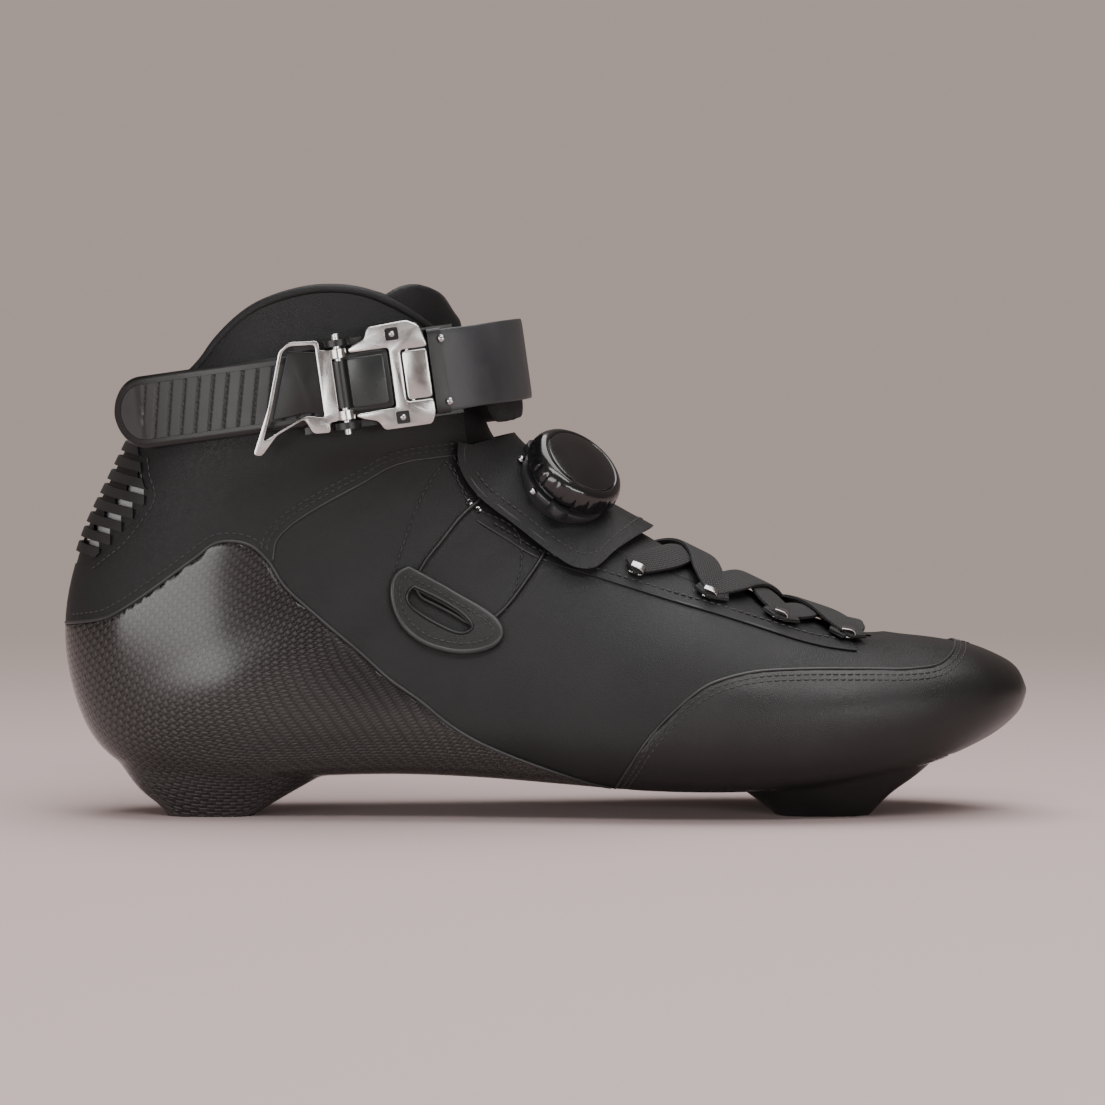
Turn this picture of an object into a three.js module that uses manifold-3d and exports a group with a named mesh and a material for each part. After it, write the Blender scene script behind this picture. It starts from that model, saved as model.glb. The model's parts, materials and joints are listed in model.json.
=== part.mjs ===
// A speed-skating boot: a carbon shell with two mounting blocks, leather panels round a padded liner,
// flat laces, a dial that winds two cables, and an ankle strap with a ratchet buckle.
// Millimetres. +X points to the toe, +Y to the inner side of the foot, +Z up. The blocks stand on z = 0.
import * as THREE from "three";
import { mergeVertices } from "three/addons/utils/BufferGeometryUtils.js";
import Module from "manifold-3d";

const wasm = await Module();
wasm.setup();

// ---------------------------------------------------------------- driving dimensions
const LENGTH = 300.3; // heel to toe
const WIDTH = 95; // across the ball of the foot
const HEIGHT = 165; // ground to the top of the tongue
const GAP = 0.3; // clearance between pieces that touch

const SHELL_WALL = 2.2;
const SHELL_PROUD = 0.5; // how far the carbon stands outside the leather
const LEATHER = 1.6;
const LINER_WALL = 2.5;
const LINER_CLEARANCE = 0.5;
const TONGUE_THICKNESS = 2.4;
const EYESTAY_THICKNESS = 1.2;
const PIPING_RADIUS = 1.5;

const BLOCK_SPACING = 195; // between the two frame bolts
const HEEL_BOLT_X = 42.5;
const BLOCK_HEIGHT = 16;
const INSERT_RADIUS = 8;
const INSERT_HEIGHT = 9;
const INSERT_BORE_RADIUS = 3.4;

const DIAL_RADIUS = 16;
const DIAL_HEIGHT = 12;
const DIAL_WALL = 1.8;
const DIAL_BASE_RADIUS = 12.5;
const DIAL_FLANGE_RADIUS = 15;
const SPOOL_RADIUS = 9.6;
const CABLE_RADIUS = 0.7;

const STRAP_WIDTH = 22;
const STRAP_THICKNESS = 2.2;
const TOOTH_PITCH = 4.6;
const TOOTH_HEIGHT = 0.9;
const BAND_WIDTH = 25;
const PIN_RADIUS = 1.3;
const BUCKLE_WIDTH = 31;

// The boot is drawn once at this size and graded to the dimensions above.
const DRAWN = { length: 300.3, width: 95, height: 165, strap: 22 };
const GRADE = { x: LENGTH / DRAWN.length, y: WIDTH / DRAWN.width, z: HEIGHT / DRAWN.height };

// ---------------------------------------------------------------- the last
// Sections fan out from the ankle opening to the toe. Each runs from a point on the back or sole to a
// point on the front or instep, and has a greatest half width, the share of the way up where that is,
// the fullness of its lower and upper halves, and a sideways shift.
const SECTIONS = [
  { back: [41, 168], front: [123, 171], half: 34.5, widest: 0.48, low: 2.2, high: 2.2, shift: 0 },
  { back: [34, 147], front: [125, 155], half: 35.5, widest: 0.48, low: 2.2, high: 2.2, shift: 0 },
  { back: [26, 128], front: [128, 138], half: 36.5, widest: 0.48, low: 2.2, high: 2.2, shift: 0 },
  { back: [16, 108], front: [133, 123], half: 36, widest: 0.48, low: 2.2, high: 2.15, shift: 0 },
  { back: [5, 84], front: [136, 117.5], half: 34, widest: 0.46, low: 2.2, high: 2.1, shift: 0 },
  { back: [0, 58], front: [141, 112], half: 33.5, widest: 0.42, low: 2.3, high: 2, shift: 0 },
  { back: [4, 34], front: [146, 107], half: 34, widest: 0.38, low: 2.4, high: 2, shift: 0 },
  { back: [14, 18.5], front: [151, 103], half: 35, widest: 0.36, low: 2.6, high: 2, shift: 0 },
  { back: [32, 12], front: [157, 99], half: 35.5, widest: 0.34, low: 2.8, high: 1.95, shift: 0.5 },
  { back: [55, 11], front: [164, 95.5], half: 36, widest: 0.32, low: 3, high: 1.9, shift: 1 },
  { back: [80, 12.5], front: [172, 91.5], half: 37, widest: 0.32, low: 3, high: 1.9, shift: 1.5 },
  { back: [105, 13], front: [181, 86.5], half: 38.5, widest: 0.32, low: 3, high: 1.9, shift: 2 },
  { back: [130, 12], front: [191, 80.5], half: 41, widest: 0.34, low: 3, high: 1.9, shift: 2.5 },
  { back: [155, 10], front: [202, 75], half: 44, widest: 0.36, low: 3, high: 2, shift: 3 },
  { back: [180, 8], front: [214, 69], half: 46.5, widest: 0.38, low: 3, high: 2.1, shift: 3.5 },
  { back: [205, 7.5], front: [228, 62.5], half: 47.5, widest: 0.4, low: 3, high: 2.2, shift: 4 },
  { back: [228, 8.5], front: [243, 58], half: 46.5, widest: 0.42, low: 2.9, high: 2.3, shift: 4.5 },
  { back: [248, 11], front: [257, 56], half: 43.5, widest: 0.44, low: 2.8, high: 2.3, shift: 5 },
  { back: [266, 15], front: [270, 54.5], half: 38.5, widest: 0.46, low: 2.6, high: 2.3, shift: 5.5 },
  { back: [280, 20], front: [281, 52.5], half: 32, widest: 0.48, low: 2.4, high: 2.3, shift: 6 },
  { back: [290.5, 25.5], front: [290.5, 49], half: 23.5, widest: 0.5, low: 2.2, high: 2.2, shift: 6.3 },
  { back: [297.5, 31.5], front: [297, 44.8], half: 13.5, widest: 0.5, low: 2, high: 2, shift: 6.5 },
  { back: [300.3, 38], front: [300.3, 38], half: 0, widest: 0.5, low: 2, high: 2, shift: 6.5 },
];
const TOE = SECTIONS.length - 1;

// Side-view outlines, each a list of [x, z] on the drawn boot.
const CARBON_EDGE = [
  [-12, 58], [5.8, 60.4], [14.2, 62.1], [19.8, 64.9], [28.2, 70.5], [36.5, 76.6], [43.3, 81.6],
  [47.7, 85], [51.6, 86.1], [58.9, 85], [64.4, 80.5], [70, 72.1], [80.8, 62.2], [93.3, 51.6],
  [102.3, 43.5], [111.3, 37.2], [120.3, 30], [129.2, 24.7], [154, 14.9], [171, 9.6], [205, 9],
  [228, 10], [248, 12.6], [264, 16.2], [275, 20],
];
const RIM = [
  [-12, 124], [20, 127], [27, 129.5], [34, 132.8], [42.1, 138.2], [50.5, 148.6], [60.9, 157],
  [74.9, 161.9], [85.4, 162.8], [95.8, 161.2], [108.1, 155.2], [117, 148],
];
const THROAT = [
  [123, 138], [124.5, 122], [128, 106], [140, 97], [155, 89.5], [170, 83], [184, 77.5], [200, 71.5],
  [215, 66], [230, 59.8], [242, 56.5], [250, 55], [256, 55.8], [259, 58],
];
const EYESTAY_EDGE = [
  [124.4, 94.6], [136, 87.4], [146.3, 81.1], [161.6, 76.1], [184.4, 68.9], [205.9, 62.6], [229.4, 55.2],
  [240, 53], [252, 52],
];
const SEAM = [
  [64, 70], [66.1, 79.4], [67.2, 86.1], [71.4, 90.8], [78.4, 95.6], [92.3, 103.3], [104, 109.6],
  [119.7, 112], [140, 113],
];
const FLEX_EDGE = [
  [-12, 78], [7.5, 78.3], [13.1, 82.2], [18.1, 86.1], [23.7, 92.8], [28.1, 100], [26.5, 104],
  [25, 112], [22, 118.5], [-12, 118.5],
];
const TOE_CAP_EDGE = [
  [171, -20], [171.1, 8.9], [176.4, 19.7], [182.7, 28.6], [190.8, 36.7], [198, 42.1], [205.1, 44.8],
  [214.1, 46.6], [229.3, 47.2], [262, 46.8], [271, 48], [276, 51.5], [279, 56], [279, 80],
];
const TONGUE_EDGE = [
  [94, 158], [103, 140], [109, 120], [118, 101], [130, 92], [150, 81], [170, 74], [190, 67],
  [210, 60], [230, 54], [244, 51.5], [253, 52.5], [256, 60], [256, 90], [150, 150], [126, 152],
  [121.5, 157], [116.6, 162.6], [110.6, 165], [105, 164.6], [99, 162],
];
const INSOLE_TOP = [
  [12, 27], [20, 23.5], [35, 21.8], [80, 22.4], [130, 21.8], [155, 19.8], [180, 17.8], [205, 17.3],
  [228, 18.4], [244, 20.8],
];
const FLAP = [
  [122.9, 116.2], [123.3, 108.5], [128.4, 100.3], [140, 91], [152, 81.8], [159.1, 77.9],
  [164.8, 77.9], [171.2, 83], [178.2, 87.2], [183, 89.5], [190, 110], [152, 122], [127, 115.5],
];
const GUIDE = [
  [107.4, 77.9], [134.8, 61.3], [136.4, 57.4], [133.5, 54], [124, 52], [112.5, 54.8], [105.6, 60.6],
  [102.4, 68.5], [103, 74.8],
];
const GUIDE_SLOT = [[109, 71.6], [125, 62.2], [126.8, 59.4], [123.8, 57.9], [108.6, 66.2], [107.4, 69.4]];

// A value between the stored ones of the sections, on a smooth curve through them.
function eased(v, read) {
  const i = Math.min(Math.floor(v), TOE - 1);
  const t = v - i;
  const [a, b, c, d] = [-1, 0, 1, 2].map((k) => read(SECTIONS[THREE.MathUtils.clamp(i + k, 0, TOE)]));
  const slope0 = (c - a) / 2;
  const slope1 = (d - b) / 2;
  return (
    (2 * t ** 3 - 3 * t ** 2 + 1) * b +
    (t ** 3 - 2 * t ** 2 + t) * slope0 +
    (3 * t ** 2 - 2 * t ** 3) * c +
    (t ** 3 - t ** 2) * slope1
  );
}

// The two ends of section v in side view, graded.
function ends(v) {
  const end = (which) => {
    const x = GRADE.x * eased(v, (s) => s[which][0]);
    const z = GRADE.z * eased(v, (s) => s[which][1]);
    return new THREE.Vector2(x, z);
  };
  return { back: end("back"), front: end("front") };
}

// A point on the last. g goes round the section: 0 at the back or sole, 1 and -1 at the front or
// instep, negative on the outer side of the foot.
function onLast(v, g) {
  const { back, front } = ends(v);
  const around = ((((g + 1) % 2) + 2) % 2) - 1;
  const angle = Math.PI * Math.abs(around);
  const widest = eased(v, (s) => s.widest);
  const lower = angle <= Math.PI / 2;
  const power = 2 / eased(v, lower ? (s) => s.low : (s) => s.high);
  const along = Math.abs(Math.cos(angle)) ** power;
  const share = lower ? widest * (1 - along) : widest + (1 - widest) * along;
  const reach = GRADE.y * Math.max(eased(v, (s) => s.half), 0) * Math.max(Math.sin(angle), 0) ** power;
  return new THREE.Vector3(
    back.x + (front.x - back.x) * share,
    Math.sign(around) * reach + GRADE.y * eased(v, (s) => s.shift),
    back.y + (front.y - back.y) * share,
  );
}

// The outward normal of the last.
function outward(v, g) {
  const step = 0.04;
  const w = THREE.MathUtils.clamp(v, step, TOE - 0.12);
  const along = onLast(w + step, g).sub(onLast(w - step, g));
  const round = onLast(w, g + 0.02).sub(onLast(w, g - 0.02));
  const normal = round.cross(along).normalize();
  return v > TOE - 0.01 ? new THREE.Vector3(1, 0, 0) : normal;
}

// A point at a height above the last.
function skin(v, g, lift) {
  return onLast(v, g).addScaledVector(outward(v, g), lift);
}

// The section and girth of the point that side view shows at drawn [x, z]; side is -1 or 1.
function locate([x, z], side) {
  const point = new THREE.Vector2(x * GRADE.x, z * GRADE.z);
  const off = (v) => {
    const { back, front } = ends(v);
    return front.clone().sub(back).cross(point.clone().sub(back));
  };
  let [low, high] = [0, TOE - 0.3];
  for (let i = 0; i < 40; i++) {
    const middle = (low + high) / 2;
    if (off(middle) > 0 === off(low) > 0) low = middle;
    else high = middle;
  }
  const { back, front } = ends(low);
  const line = front.clone().sub(back);
  const share = THREE.MathUtils.clamp(point.clone().sub(back).dot(line) / line.lengthSq(), 0, 1);
  const widest = eased(low, (s) => s.widest);
  const angle =
    share < widest
      ? Math.acos((1 - share / widest) ** (eased(low, (s) => s.low) / 2))
      : Math.PI - Math.acos(((share - widest) / (1 - widest)) ** (eased(low, (s) => s.high) / 2));
  return { v: low, g: (side * angle) / Math.PI };
}

// ---------------------------------------------------------------- solids
// A geometry as a closed solid whose faces point out.
function solid(geometry) {
  const bare = geometry.clone();
  bare.deleteAttribute("normal");
  bare.deleteAttribute("uv");
  const merged = mergeVertices(bare, 1e-4);
  const triVerts = new Uint32Array(merged.index.array);
  const vertProperties = merged.attributes.position.array;
  const made = new wasm.Manifold(new wasm.Mesh({ numProp: 3, vertProperties, triVerts }));
  if (made.volume() > 0) return made;
  for (let i = 0; i < triVerts.length; i += 3) {
    [triVerts[i + 1], triVerts[i + 2]] = [triVerts[i + 2], triVerts[i + 1]];
  }
  return new wasm.Manifold(new wasm.Mesh({ numProp: 3, vertProperties, triVerts }));
}

function geometry(made) {
  const { numProp, vertProperties, triVerts } = made.getMesh();
  const position = new Float32Array((vertProperties.length / numProp) * 3);
  for (let i = 0; i < position.length / 3; i++) {
    position.set(vertProperties.subarray(i * numProp, i * numProp + 3), i * 3);
  }
  return new THREE.BufferGeometry()
    .setAttribute("position", new THREE.BufferAttribute(position, 3))
    .setIndex(new THREE.BufferAttribute(triVerts, 1));
}

// A closed solid through a stack of rings with equally many points.
function loft(rings) {
  const count = rings[0].length;
  const points = rings.flat();
  const index = [];
  for (let r = 0; r < rings.length - 1; r++) {
    for (let i = 0; i < count; i++) {
      const [a, b] = [r * count + i, r * count + ((i + 1) % count)];
      index.push(a, b, b + count, a, b + count, a + count);
    }
  }
  const last = (rings.length - 1) * count;
  for (let i = 1; i < count - 1; i++) {
    index.push(0, i + 1, i, last, last + i, last + i + 1);
  }
  return solid(new THREE.BufferGeometry().setFromPoints(points).setIndex(index));
}

// Every layer of the boot is faceted on the same rings, so nested layers keep their clearance.
const RING_COUNT = 21;
const ROUND = 22;
function ring(r, lift) {
  const v = 0.2 + ((TOE - 0.22) * r) / RING_COUNT;
  return Array.from({ length: ROUND }, (_, i) => skin(v, -1 + (2 * i + 0.5) / ROUND, lift));
}

// A wall round the whole boot between two heights above the last, from ring r0 to ring r1.
function wall(inner, outer, r0, r1) {
  const numbers = Array.from({ length: r1 - r0 + 1 }, (_, i) => r0 + i);
  const rings = [...numbers.map((r) => ring(r, outer)), ...numbers.reverse().map((r) => ring(r, inner))];
  const index = [];
  for (let r = 0; r < rings.length; r++) {
    const next = (r + 1) % rings.length;
    const facingIn = r >= numbers.length;
    for (let i = 0; i < ROUND; i++) {
      const j = (i + 1) % ROUND;
      const [a, b, c, d] = [r * ROUND + i, r * ROUND + j, next * ROUND + j, next * ROUND + i];
      if (facingIn) index.push(a, b, d, b, c, d);
      else index.push(a, b, c, a, c, d);
    }
  }
  return solid(new THREE.BufferGeometry().setFromPoints(rings.flat()).setIndex(index));
}

// Everything inside a height above the last.
function inside(lift, r0, r1) {
  return loft(Array.from({ length: r1 - r0 + 1 }, (_, i) => ring(r0 + i, lift)));
}

// A side-view outline as a closed solid across the boot.
function across(outline, y0 = -90, y1 = 90) {
  const shape = new THREE.Shape(outline.map(([x, z]) => new THREE.Vector2(x * GRADE.x, z * GRADE.z)));
  const slab = new THREE.ExtrudeGeometry(shape, { depth: y1 - y0, bevelEnabled: false });
  slab.rotateX(Math.PI / 2).translate(0, y1, 0);
  return solid(slab);
}

// An outline moved outward all round.
function grown(outline, by) {
  const count = outline.length;
  const area = outline.reduce((sum, [x, z], i) => {
    const [nx, nz] = outline[(i + 1) % count];
    return sum + x * nz - nx * z;
  }, 0);
  const side = Math.sign(area) * by;
  return outline.map(([x, z], i) => {
    const [px, pz] = outline[(i + count - 1) % count];
    const [nx, nz] = outline[(i + 1) % count];
    const before = new THREE.Vector2(z - pz, px - x).normalize();
    const after = new THREE.Vector2(nz - z, x - nx).normalize();
    const normal = before.clone().add(after).normalize();
    const reach = side / Math.max(normal.dot(after), 0.4);
    return [x + normal.x * reach, z + normal.y * reach];
  });
}

function cylinder(radius, height, sides = 24, top = radius) {
  return new THREE.CylinderGeometry(top, radius, height, sides).rotateX(Math.PI / 2);
}

// A cylinder that stands on z.
function post(radius, z, height, sides = 24, top = radius) {
  return solid(cylinder(radius, height, sides, top).translate(0, 0, z + height / 2));
}

function block(x0, x1, y0, y1, z0, z1) {
  const box = new THREE.BoxGeometry(x1 - x0, y1 - y0, z1 - z0);
  return solid(box.translate((x0 + x1) / 2, (y0 + y1) / 2, (z0 + z1) / 2));
}

// A round cord along points.
function tube(points, radius, sides, steps) {
  const section = new THREE.Shape();
  for (let i = 0; i < sides; i++) {
    const angle = (2 * Math.PI * (i + 0.5)) / sides;
    const point = [radius * Math.cos(angle), radius * Math.sin(angle)];
    if (i === 0) section.moveTo(...point);
    else section.lineTo(...point);
  }
  section.closePath();
  const extrudePath = new THREE.CatmullRomCurve3(points, false, "centripetal");
  return new THREE.ExtrudeGeometry(section, { steps, extrudePath, bevelEnabled: false });
}

// A flat strip along samples of { point, normal, width }, its thickness standing on the points.
function ribbon(samples, thickness) {
  const rings = samples.map(({ point, normal, width }, i) => {
    const before = samples[Math.max(i - 1, 0)].point;
    const after = samples[Math.min(i + 1, samples.length - 1)].point;
    const side = after.clone().sub(before).cross(normal).normalize().multiplyScalar(width / 2);
    const top = normal.clone().multiplyScalar(thickness);
    return [
      point.clone().add(side),
      point.clone().sub(side),
      point.clone().sub(side).add(top),
      point.clone().add(side).add(top),
    ];
  });
  return loft(rings);
}

// ---------------------------------------------------------------- materials
const finishes = {
  carbon: { color: 0x1c1a18, roughness: 0.22, metalness: 0.1 },
  leather: { color: 0x2e2e2f, roughness: 0.62, metalness: 0 },
  toeLeather: { color: 0x1d1d1e, roughness: 0.34, metalness: 0 },
  lining: { color: 0x242425, roughness: 0.9, metalness: 0 },
  rubber: { color: 0x161616, roughness: 0.7, metalness: 0 },
  blackPlastic: { color: 0x131313, roughness: 0.35, metalness: 0 },
  greyPlastic: { color: 0x525255, roughness: 0.5, metalness: 0 },
  silver: { color: 0xb9b9b6, roughness: 0.28, metalness: 1 },
  steel: { color: 0x8c8c8e, roughness: 0.3, metalness: 1 },
  webbing: { color: 0x2a2a2b, roughness: 0.85, metalness: 0 },
};

const boot = new THREE.Group();

function add(name, shape, finish, parent = boot) {
  const made = shape.isBufferGeometry ? shape : geometry(shape);
  const mesh = new THREE.Mesh(made, new THREE.MeshStandardMaterial(finishes[finish]));
  mesh.name = name;
  parent.add(mesh);
  return mesh;
}

// ---------------------------------------------------------------- shell and mounting blocks
const carbonRegion = [...CARBON_EDGE, [276, -30], [-30, -30], [-30, 58]];
const upperCorners = [[262, 58], [262, 90], [340, 90], [340, -30], [-30, -30], [-30, 124]];
const upperRegion = [...RIM, ...THROAT, ...upperCorners];
const toeCapRegion = [...TOE_CAP_EDGE, [340, 80], [340, -20]];
const cuffRegion = [...SEAM, [140, 220], [-40, 220], [-40, 40], [64, 40]];

// A block that flares from its flat foot into the shell, all of it bigger by the margin.
function mountingBlock({ spans, centre, halfWidths }, margin = 0) {
  const levels = [0, 3, 7, 11, BLOCK_HEIGHT];
  return loft(
    levels.map((z, i) => {
      const [x0, x1] = spans[i].map((x) => x * GRADE.x);
      const count = 20;
      return Array.from({ length: count }, (_, k) => {
        const angle = (2 * Math.PI * (k + 0.5)) / count;
        const corner = (t) => Math.sign(t) * Math.abs(t) ** 0.5;
        const x = (x0 + x1) / 2 + ((x1 - x0) / 2 + margin) * corner(Math.cos(angle));
        const y = centre + (halfWidths[i] * GRADE.y + margin) * corner(Math.sin(angle));
        return new THREE.Vector3(x, y, i === levels.length - 1 ? z + margin : z - margin);
      });
    }),
  );
}

const boltX = [HEEL_BOLT_X * GRADE.x, HEEL_BOLT_X * GRADE.x + BLOCK_SPACING];
const toeBlockY = 4 * GRADE.y;
const HEEL_BLOCK = {
  spans: [[31.5, 59.3], [29, 64], [24.5, 71], [21, 77], [19, 82]],
  centre: 0,
  halfWidths: [17, 18.5, 20, 21, 21.5],
};
const TOE_BLOCK = {
  spans: [[221, 251], [217.8, 253.6], [213.5, 257], [210, 260.5], [208, 263]],
  centre: toeBlockY,
  halfWidths: [20, 21.5, 23.5, 25, 26],
};
const hollow = inside(-SHELL_WALL / 2, 3, 19);
const pocket = (x, y) => post(INSERT_RADIUS + GAP, -1, INSERT_HEIGHT + 2 * GAP + 1).translate(x, y, 0);
const carbonWall = wall(-SHELL_WALL, SHELL_PROUD, 3, 19);
const carbonShell = carbonWall
  .intersect(across(carbonRegion))
  .add(mountingBlock(HEEL_BLOCK).subtract(hollow))
  .add(mountingBlock(TOE_BLOCK).subtract(hollow))
  .subtract(pocket(boltX[0], 0))
  .subtract(pocket(boltX[1], toeBlockY));
add("carbon_shell", carbonShell, "carbon");

function threadedInsert(name, x, y) {
  const body = post(INSERT_RADIUS, GAP, INSERT_HEIGHT);
  const bore = post(INSERT_BORE_RADIUS, -1, INSERT_HEIGHT + 3);
  add(name, body.subtract(bore).translate(x, y, 0), "steel");
}
threadedInsert("heel_insert", boltX[0], 0);
threadedInsert("toe_insert", boltX[1], toeBlockY);

// ---------------------------------------------------------------- leather upper
const upperWall = wall(-LEATHER, 0, 0, RING_COUNT).intersect(across(upperRegion));
const shellRoom = wall(-2 * SHELL_WALL, 2 * SHELL_WALL, 3, 19)
  .intersect(across(grown(carbonRegion, GAP)))
  .add(mountingBlock(TOE_BLOCK, GAP));
const leather = upperWall.subtract(shellRoom);
const outerHalf = block(-50, 400, -120, -GAP / 2, -50, 250);
const innerHalf = block(-50, 400, GAP / 2, 120, -50, 250);
const upperRest = leather.subtract(across(grown(toeCapRegion, GAP)));
const cuff = upperRest.intersect(across(cuffRegion)).subtract(across(grown(FLEX_EDGE, GAP)));
const forward = upperRest.subtract(across(grown(cuffRegion, GAP)));
const vampRegion = [[222, 30], [240, 90], [340, 90], [340, 30]];
const quarters = forward.subtract(across(grown(vampRegion, GAP)));

const largest = (made) => made.decompose().sort((a, b) => b.volume() - a.volume())[0];
add("ankle_panel_outer", largest(cuff.intersect(outerHalf)), "leather");
add("ankle_panel_inner", largest(cuff.intersect(innerHalf)), "leather");
add("quarter_outer", largest(quarters.intersect(outerHalf)), "leather");
add("quarter_inner", largest(quarters.intersect(innerHalf)), "leather");
add("vamp", largest(forward.intersect(across(vampRegion))), "leather");
add("toe_cap", largest(leather.intersect(across(toeCapRegion))), "toeLeather");

// The ribbed insert that lets the ankle flex at the Achilles tendon.
const RIB_PITCH = 4.9;
const RIB_COUNT = 8;
const RIB_PROUD = 1.4;
const SLOT_HEIGHT = 1.9;
const ribSlope = Math.tan(THREE.MathUtils.degToRad(12));
function slantedStrip(x0, x1, z, height) {
  const rise = (x) => -ribSlope * (x - 14);
  const low = [[x0, z + rise(x0)], [x1, z + rise(x1)]];
  return [...low, ...low.map(([x, level]) => [x, level + height]).reverse()];
}
const ribX = (z) => [-12, 21 - (118 - z) * 0.42];
let flex = upperRest.intersect(across(FLEX_EDGE));
let ribs = null;
for (let i = 0; i < RIB_COUNT; i++) {
  const z = 80 + i * RIB_PITCH;
  const [x0, x1] = ribX(z);
  const strip = across(slantedStrip(x0, x1, z, RIB_PITCH - SLOT_HEIGHT));
  ribs = ribs ? ribs.add(strip) : strip;
}
const flexBand = wall(-LEATHER / 2, RIB_PROUD, 1, 6);
flex = flex.add(flexBand.intersect(ribs).intersect(across(grown(FLEX_EDGE, -0.6))));
for (let i = 0; i < RIB_COUNT - 2; i++) {
  const z = 80 + (i + 1) * RIB_PITCH - SLOT_HEIGHT;
  const [, x1] = ribX(z);
  flex = flex.subtract(across(slantedStrip(x1 - 3.5, x1 + 2, z, SLOT_HEIGHT)));
}
add("achilles_flex_insert", largest(flex), "rubber");
const backing = wall(-LEATHER - GAP - 0.4, -LEATHER - GAP, 1, 6);
add("reflective_backing", largest(backing.intersect(across(grown(FLEX_EDGE, -1.5)))), "silver");

// ---------------------------------------------------------------- lining, insole and tongue
const linerTop = -LEATHER - GAP - LINER_CLEARANCE - GAP;
const linerInner = linerTop - LINER_WALL;
const RIM_DROP = 0.6; // how far the liner stops below the rim
const linerCorners = [[262, 58], [262, -30], [-40, -30], [-40, 124]];
const rimTrim = [...RIM.map(([x, z]) => [x, z - RIM_DROP]), ...THROAT, ...linerCorners];
const liner = wall(linerInner, linerTop, 0, 16)
  .intersect(across(rimTrim))
  .subtract(across(grown(TONGUE_EDGE, GAP)));
add("padded_liner", largest(liner), "lining");

const insoleRegion = [...INSOLE_TOP, [246, -30], [10, -30]];
const insoleBody = inside(linerInner - GAP, 3, 16).intersect(across(insoleRegion));
add("insole", largest(insoleBody), "lining");

const tongueOuter = -LEATHER - 2.5 * GAP;
const tongueWall = wall(tongueOuter - TONGUE_THICKNESS, tongueOuter, 0, 17);
add("tongue", largest(tongueWall.intersect(across(TONGUE_EDGE))), "leather");

// The rolled binding round the ankle opening.
function rimPath(margin) {
  const line = grown(upperRegion, margin).slice(3, RIM.length - 1);
  const spot = (place, side) => {
    const { v, g } = locate(place, side);
    return skin(v, g, -LEATHER / 4);
  };
  const outer = line.map((place) => spot(place, -1)).reverse();
  const inner = line.map((place) => spot(place, 1));
  const back = skin(locate([26, 130.6 + margin], 1).v, 0, -LEATHER / 4);
  return [...outer, back, ...inner];
}
add("collar_binding", tube(rimPath(PIPING_RADIUS + 3 * GAP), PIPING_RADIUS, 8, 30), "leather");

// ---------------------------------------------------------------- laces
const eyestayRegion = [[128, 106], ...THROAT.slice(3, 13), ...[...EYESTAY_EDGE].reverse()];
const eyestayWall = wall(GAP, GAP + EYESTAY_THICKNESS, 8, 17);
const eyestayFront = [[164, 50], [164, 90], [250.5, 90], [250.5, 40]];
const eyestays = eyestayWall.intersect(across(eyestayRegion)).intersect(across(eyestayFront));
add("eyestay_outer", largest(eyestays.intersect(outerHalf)), "leather");
add("eyestay_inner", largest(eyestays.intersect(innerHalf)), "leather");

const HOOKS = [[242.5, 54.9], [221.5, 60.7], [200, 67.7], [177.5, 75.4]];
const hookBase = GAP + EYESTAY_THICKNESS + GAP;
const LACE_WIDTH = 8;
const LACE_THICKNESS = 1.1;
const HOOK_POST = 1;

// A frame on the boot: z along the outward normal, x towards the toe.
function seat([x, z], side, lift) {
  const { v, g } = locate([x, z], side);
  const normal = outward(v, g);
  const forwards = onLast(v + 0.05, g).sub(onLast(v - 0.05, g)).normalize();
  const sideways = normal.clone().cross(forwards).normalize();
  const group = new THREE.Group();
  group.quaternion.setFromRotationMatrix(
    new THREE.Matrix4().makeBasis(sideways.clone().cross(normal), sideways, normal),
  );
  group.position.copy(skin(v, g, lift));
  boot.add(group);
  return group;
}

function laceHook() {
  const foot = block(-3.2, 3.2, -2.6, 2.6, 0, 0.8);
  const stem = post(HOOK_POST, 0.7, 1.9, 12);
  const cap = block(-2.6, 2.6, -1.8, 1.8, 2.5, 3.3);
  return foot.add(stem).add(cap);
}
for (const [side, label] of [[-1, "outer"], [1, "inner"]]) {
  HOOKS.forEach((place, i) => {
    add(`lace_hook_${label}_${i + 1}`, laceHook(), "steel", seat(place, side, hookBase));
  });
}

// The lace zigzags over the tongue from the top outer hook to the toe and back up to the top inner hook.
function laceSamples() {
  const order = [[3, -1], [2, 1], [1, -1], [0, 1], [0, -1], [1, 1], [2, -1], [3, 1]];
  const turnRadius = HOOK_POST + GAP + 1.9;
  const samples = [];
  order.forEach(([hook, side], i) => {
    const here = locate(HOOKS[hook], side);
    const low = hookBase + 0.8 + 2 * GAP;
    const around = i < 4 ? -1 : 1;
    const reach = turnRadius / 45;
    const turns = i === 0 ? [1] : i === order.length - 1 ? [-1] : [-1, 0, 1];
    for (const turn of turns) {
      const v = here.v + around * turn * 0.16;
      const g = here.g + side * reach * (turn ? 0.15 : -1);
      samples.push({ v, g, lift: low, width: 1.8 });
    }
    if (i === order.length - 1) return;
    const [nextHook, nextSide] = order[i + 1];
    const next = locate(HOOKS[nextHook], nextSide);
    const from = here.g < 0 ? here.g + 2 : here.g;
    const to = next.g < 0 ? next.g + 2 : next.g;
    const over = GAP + (i >= 4 ? LACE_THICKNESS + GAP : 0);
    for (const t of [0.2, 0.35, 0.5, 0.65, 0.8]) {
      samples.push({
        v: here.v + (next.v - here.v) * t,
        g: from + (to - from) * t,
        lift: low + over * Math.sin(Math.PI * t) ** 0.25,
        width: LACE_WIDTH,
      });
    }
  });
  return samples.map(({ v, g, lift, width }) => {
    return { point: skin(v, g, lift), normal: outward(v, g), width };
  });
}
add("lace", ribbon(laceSamples(), LACE_THICKNESS), "webbing");

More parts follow.
